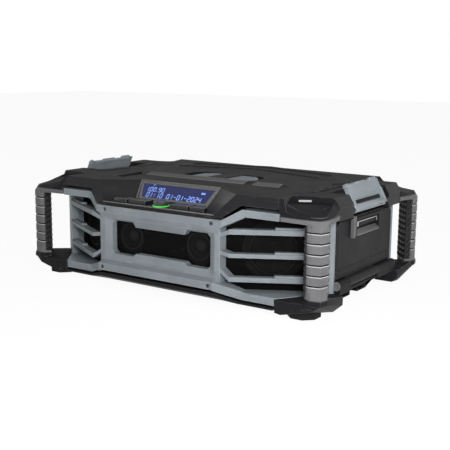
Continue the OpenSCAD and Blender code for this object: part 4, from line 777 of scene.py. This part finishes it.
LATCH_LEAN_SIN, LATCH_LEAN_COS = 0.4377, 0.8992
LATCH_X, LATCH_Z = 0.2725, 0.1486  # metres
LATCH_FRAME = Matrix(((0, -LATCH_LEAN_SIN, LATCH_LEAN_COS, LATCH_X), (1, 0, 0, 0),
                      (0, LATCH_LEAN_COS, LATCH_LEAN_SIN, LATCH_Z), (0, 0, 0, 1)))
LATCH_END, LATCH_EDGE, MOUTH_SHADE_EDGE = 55.4, 0.7, 0.1
LATCH_TRIM = (
    ("border", (-LATCH_END, -3, -0.6), (-49.5, 37.4, 2.2),
     (((-LATCH_END, 30, 0), (-0.8, 0.6, 0)),)),
    ("border", (49.5, -3, -0.6), (LATCH_END, 24, 2.2),
     (((LATCH_END, 20, 0), (0.7, 0.7, 0)),)),
    ("border", (-LATCH_END, -3.2, -0.6), (LATCH_END, 3.4, 2.6),
     (((0, 3.4, 1.0), (0, 0.8, 0.6)),)),
    ("lip", (-41, 2.8, -1.6), (41, 6.4, 1.2), (((0, 6.4, -1.2), (0, 0.75, 0.66)),)),
    ("brow", (-40, 15.4, -0.6), (34, 17.6, 1.6), (((34, 16, 0), (0.9, -0.4, 0)),)),
    ("hook", (-58, 33.2, -4.6), (-49, 39.4, 1.6),
     (((-58, 35, 0), (-0.75, 0.66, 0)), ((-58, 34, 0), (-0.6, -0.8, 0)))),
    ("tab", (-24, 36.4, -4.4), (10, 39.6, 0.6),
     (((10, 38, 0), (0.7, 0.7, 0)), ((-24, 38, 0), (-0.7, 0.7, 0)))),
    ("tab", (26, 36.4, -4.4), (50, 41.2, 0.6),
     (((50, 39, 0), (0.7, 0.7, 0)), ((26, 39, 0), (-0.7, 0.7, 0)))),
    ("ear", (-50, -6.0, -1.6), (-41, -1, 0.4), (((-50, -7, 0), (-0.7, -0.7, 0)),)),
    ("ear", (41, -6.0, -1.6), (50, -1, 0.4), (((50, -7, 0), (0.7, -0.7, 0)),)),
)
# Black sheet of painted shade across the latch's mouth
LATCH_MOUTH_SHADE = (("mouth_shade", (-41.6, 6.6, -0.6), (41.6, 12.2, 0.12),
                (((41.6, 12.2, 0), (0.5, 0.86, 0)),)),)


def latch_trim():
    """Raised border, lip, brow, hooked corner, tabs and shoulders on each latch; a black sheet of
    painted shade in its mouth.
    """
    trim = built(LATCH_TRIM, "latch_trim_r", LATCH_EDGE)
    mouth_shade = built(LATCH_MOUTH_SHADE, "latch_mouth_shade_r", MOUTH_SHADE_EDGE)
    for right, left_name, finish in ((mouth_shade, "latch_mouth_shade_l", "seal_rubber"),
                                     (trim, "latch_trim_l", None)):
        left = twin(placed(right, LATCH_FRAME), left_name, FLIP_X)
        settle(left, body_of["side_latch_l"], "latch_plastic", finish)
        settle(right, body_of["side_latch_r"], "latch_plastic", finish)


# Battery door and its surroundings

DOOR_FACE = 264.6
DOOR_TRIM = (
    ("step", (DOOR_FACE, -94, 58.6), (265.9, 80, 60.4), (((265.9, 0, 59), (0.6, 0, -0.8)),)),
    ("step", (DOOR_FACE, 80, 58.6), (265.9, 88, 60.4)),
    ("upright", (DOOR_FACE, -90, 62), (265.7, -87.4, 118),
     (((0, -87.4, 62), (0, 0.6, -0.8)),)),
    ("relief", (DOOR_FACE, 22, 62.6), (265.6, 40, 70),
     (((265, 40, 66), (0, 0.6, 0.8)), ((265, 22, 67), (0, -0.8, 0.6)))),
)
# Rib and sill by the pull, finished in the lighter plastic of a painted highlight
PULL_RIB = (("pull_rib", (264.8, -50.2, 103), (271.2, -43.2, 136),
             (((268, -43.2, 108), (0, 0.72, -0.69)), ((271.2, -50.2, 120), (0.8, -0.6, 0)))),)
PULL_SILL = (("pull_sill", (261.6, -35, 104.4), (269.3, 43, 112),
              (((262, 0, 111.4), (0.651, 0, 0.759)), ((262, 0, 110.7), (-0.651, 0, -0.759)))),)
# Black sliver of painted shade for the door's catch slot
CATCH_SLOT_SHADE = (("catch_slot_shade", (264.7, 81.4, 51.5), (265.25, 84.2, 58.4)),)
# Black sheets of painted shade for the slots in the bar over the battery door
LINTEL_SLOT_SHADE = (
    ("slot", (268.2, -36, 134.0), (269.3, -2, 137.0), (((268, -36, 134), (0, -0.8, -0.6)),)),
    ("slot", (268.2, 4, 134.6), (269.3, 50, 137.0), (((268, 50, 134.6), (0, 0.8, -0.6)),)),
)
DOOR_PIECES = (  # blocks, name, width of the round, finish if not the door's
    (DOOR_TRIM, "door_trim", 0.45, None),
    (PULL_RIB, "pull_rib", 0.5, "painted_highlight_plastic"),
    (PULL_SILL, "pull_sill", 0.12, "painted_highlight_plastic"),
    (CATCH_SLOT_SHADE, "catch_slot_shade", 0.2, "seal_rubber"),
)
HINGE_SIDES, HINGE_RADIUS, HINGE_THICK = 40, 6.9, 1.4
HINGE_X, HINGE_Y, HINGE_Z = 268, 98.3, 38.5
HINGE_RIM, HINGE_SLOPE, HINGE_DEEP, HINGE_EDGE = 1.3, 0.3, 0.8, 0.3


def door_trim():
    """Step line and relief on the door's outer face, a black sliver of painted shade for its catch
    slot, and a rib and sill by its pull in the lighter plastic of a painted highlight.
    """
    for table, name, width, finish in DOOR_PIECES:
        settle(built(table, name, width), body_of["battery_door"], "door_plastic", finish)


def hinge_caps():
    """Rimmed end caps of the door hinge, in the lighter plastic of a painted highlight."""
    caps = []
    for side in (-1, 1):
        cap = cylinder("cap", HINGE_SIDES, HINGE_RADIUS, HINGE_THICK,
                       (HINGE_X, side * HINGE_Y, HINGE_Z), (math.pi / 2, 0, 0))
        bpy.ops.object.mode_set(mode="EDIT")
        pick_faces(cap, lambda face: face.normal.y * side > ALONG)
        bpy.ops.mesh.inset(thickness=HINGE_RIM * MM)
        bpy.ops.mesh.inset(thickness=HINGE_SLOPE * MM, depth=-HINGE_DEEP * MM)
        bpy.ops.object.mode_set(mode="OBJECT")
        caps.append(bevelled(cap, HINGE_EDGE))
    settle(joined(caps, "hinge_caps"), RADIO, "tray_plastic", "painted_highlight_plastic")


# Lid

# Painted shade: a black sheet in the slot under the brow's lip. Painted highlight: a pale strip
# along the lip
SLOT_SHADE = (("brow_slot_shade", (-91, -185.7, 133.7), (91, -183.4, 137.7)),)
LIP_HIGHLIGHT = (("brow_lip_highlight", (-108.6, -185.6, 139.3), (108.6, -184.4, 140.9)),)
RIDGE_SLOPE = (((0, -66, 170.9), (0, -0.249, 0.9685)), ((0, -66, 170.2), (0, 0.249, -0.9685)))
# Pale front slopes on the ridge bar: a painted highlight
RIDGE_HIGHLIGHT = (
    ("slope", (-116.6, -66.2, 169.8), (81.8, -52.1, 175.2), RIDGE_SLOPE),
    ("slope", (99.2, -66.2, 169.8), (146.8, -52.1, 175.2), RIDGE_SLOPE),
)
LID_ARROW = (
    ("arrow", (196, -66, 170.2), (210, -18, 172.1),
     (((196, -18, 171), (-0.94, -0.22, 0.25)), ((210, -64, 171), (0.8, -0.1, 0.6)),
      ((203, -18, 171), (0.3, 0.9, 0.3)))),
    ("arrow", (208, -78, 170.2), (219, -30, 171.6),
     (((219, -76, 171), (0.95, 0.2, 0.2)), ((208, -30, 171), (-0.75, 0.6, 0.25)))),
)
BODY_PIECES = (  # blocks, name, width of the round, slot, finish
    (SLOT_SHADE, "brow_slot_shade", 0.2, "lid_plastic", "seal_rubber"),
    (LIP_HIGHLIGHT, "brow_lip_highlight", 0.4, "lid_plastic", "painted_highlight_plastic"),
    (LINTEL_SLOT_SHADE, "lintel_slot_shade", 0.15, "cabinet_plastic", "seal_rubber"),
    (RIDGE_HIGHLIGHT, "ridge_highlight", 0.12, "lid_plastic", "painted_highlight_plastic"),
)
ARROW_EDGE, WEB_RIB_EDGE = 0.6, 0.8
WEB_RIB = ("rib", (-1.6, -11, -1.2), (1.6, 11, 1.3))
WEB_RIB_PLACE, WEB_RIB_TURN, WEB_RIB_TILT = (262, -133, 156.8), -24, 10


def body_trim():
    """Painted shade: a black sheet in the slot under the brow and black slots in the bar over the
    battery door. Painted highlight: a pale strip on the brow's lip and pale front slopes on the
    lid's ridge bar."""
    for table, name, width, slot, finish in BODY_PIECES:
        settle(built(table, name, width), RADIO, slot, finish)


def lid_marks():
    """Raised arrow ribs beside the latches."""
    arrow = built(LID_ARROW, "lid_arrow", ARROW_EDGE)
    four_corners(arrow, "lid_arrow", RADIO, "lid_plastic")


def web_ribs():
    """Short raised ribs on the corner webs."""
    rib = bevelled(block(*WEB_RIB), WEB_RIB_EDGE, FINE)
    placed(rib, at(*WEB_RIB_PLACE) @ turned(math.radians(WEB_RIB_TURN), "Z")
           @ turned(math.radians(WEB_RIB_TILT), "X"))
    four_corners(rib, "web_rib", RADIO, "guard_plastic")


# Camera, light and floor, measured in metres, watts and degrees

CAMERA_PLACE, CAMERA_TURNS = (0.82017, -1.19407, 0.35822), (34.40, 10.67, 0.48)
FOCAL_PX, FRAME_PX, SENSOR_MM = 856.44, 450.0, 36.0
AIM = (0, 0, 0.08)
LAMPS = (  # name, place, size, power, what it is aimed at
    ("key", (0.82, -0.95, 0.42), 0.35, 18, (0.24, -0.12, 0.08)),
    ("top", (0.5, -0.5, 2.3), 1.0, 12, AIM),
    ("left", (-1.4, -1.3, 1.6), 0.9, 6, AIM),
    ("side", (2.3, 0.5, 0.8), 0.8, 12, AIM),
)
FLOOR_SIZE, FLOOR_SHADE, FLOOR_ROUGH, FLOOR_WHITE = 14, 0.92, 0.9, 0.94
SKY_LIGHT, SKY_SEEN = 0.12, 1.0
WHITE = (1, 1, 1, 1)


def camera():
    """The camera at the photograph's viewing angle, aimed by yaw, pitch and roll."""
    place = Vector(CAMERA_PLACE)
    yaw, pitch, roll = [math.radians(angle) for angle in CAMERA_TURNS]
    ahead = Vector((-math.sin(yaw) * math.cos(pitch), math.cos(yaw) * math.cos(pitch),
                    -math.sin(pitch)))
    right = Vector((math.cos(yaw), math.sin(yaw), 0))
    up = right.cross(ahead)
    right, up = (right * math.cos(roll) + up * math.sin(roll),
                 up * math.cos(roll) - right * math.sin(roll))
    data = bpy.data.cameras.new("camera")
    data.sensor_width = SENSOR_MM
    data.lens = SENSOR_MM * FOCAL_PX / FRAME_PX
    eye = bpy.data.objects.new("camera", data)
    eye.matrix_world = Matrix((
        (right.x, up.x, -ahead.x, place.x),
        (right.y, up.y, -ahead.y, place.y),
        (right.z, up.z, -ahead.z, place.z),
        (0, 0, 0, 1)))
    bpy.context.scene.collection.objects.link(eye)
    bpy.context.scene.camera = eye


def seen(tree):
    """One where a camera, glossy or transmission ray looks, else nought."""
    path = tree.nodes.new("ShaderNodeLightPath").outputs
    direct = maths(tree, "MAXIMUM", path["Is Camera Ray"], path["Is Glossy Ray"])
    return maths(tree, "MAXIMUM", direct, path["Is Transmission Ray"])


def lamp(name, place, size, power, aim):
    """A soft square lamp, kept out of the picture and out of reflections."""
    light = bpy.data.lights.new(name, "AREA")
    light.energy = power
    light.size = size
    holder = bpy.data.objects.new(name, light)
    holder.location = place
    holder.visible_camera = holder.visible_glossy = False
    facing = Vector(aim) - Vector(place)
    holder.rotation_euler = facing.to_track_quat("-Z", "Y").to_euler()
    bpy.context.scene.collection.objects.link(holder)


def studio():
    """Pale floor that shows nearly white and takes shadows, even white sky, four lamps."""
    bpy.ops.mesh.primitive_plane_add(size=FLOOR_SIZE, location=(0, 0, 0))
    floor = bpy.context.object
    floor.name = "floor"
    mat = bpy.data.materials.new("floor")
    mat.use_nodes = True
    tree = mat.node_tree
    matt = tree.nodes["Principled BSDF"]
    matt.inputs["Base Color"].default_value = (*grey(FLOOR_SHADE), 1)
    matt.inputs["Roughness"].default_value = FLOOR_ROUGH
    white = tree.nodes.new("ShaderNodeEmission")
    white.inputs["Color"].default_value = WHITE
    mix = tree.nodes.new("ShaderNodeMixShader")
    tree.links.new(remap(tree, seen(tree), 0, 1, 0.0, FLOOR_WHITE), mix.inputs["Fac"])
    tree.links.new(matt.outputs["BSDF"], mix.inputs[1])
    tree.links.new(white.outputs["Emission"], mix.inputs[2])
    tree.links.new(mix.outputs["Shader"], tree.nodes["Material Output"].inputs["Surface"])
    floor.data.materials.append(mat)
    world = bpy.data.worlds.new("studio")
    world.use_nodes = True
    tree = world.node_tree
    sky = tree.nodes["Background"]
    sky.inputs["Color"].default_value = WHITE
    tree.links.new(remap(tree, seen(tree), 0, 1, SKY_LIGHT, SKY_SEEN), sky.inputs["Strength"])
    bpy.context.scene.world = world
    for row in LAMPS:
        lamp(*row)
    bpy.context.scene.view_settings.view_transform = "Standard"


make_finishes()
mouldings()
post_grips()
post_beads()
digits()
display_surround()
knob()
lamp_dot()
speakers()
latch_trim()
door_trim()
hinge_caps()
body_trim()
lid_marks()
web_ribs()
camera()
studio()
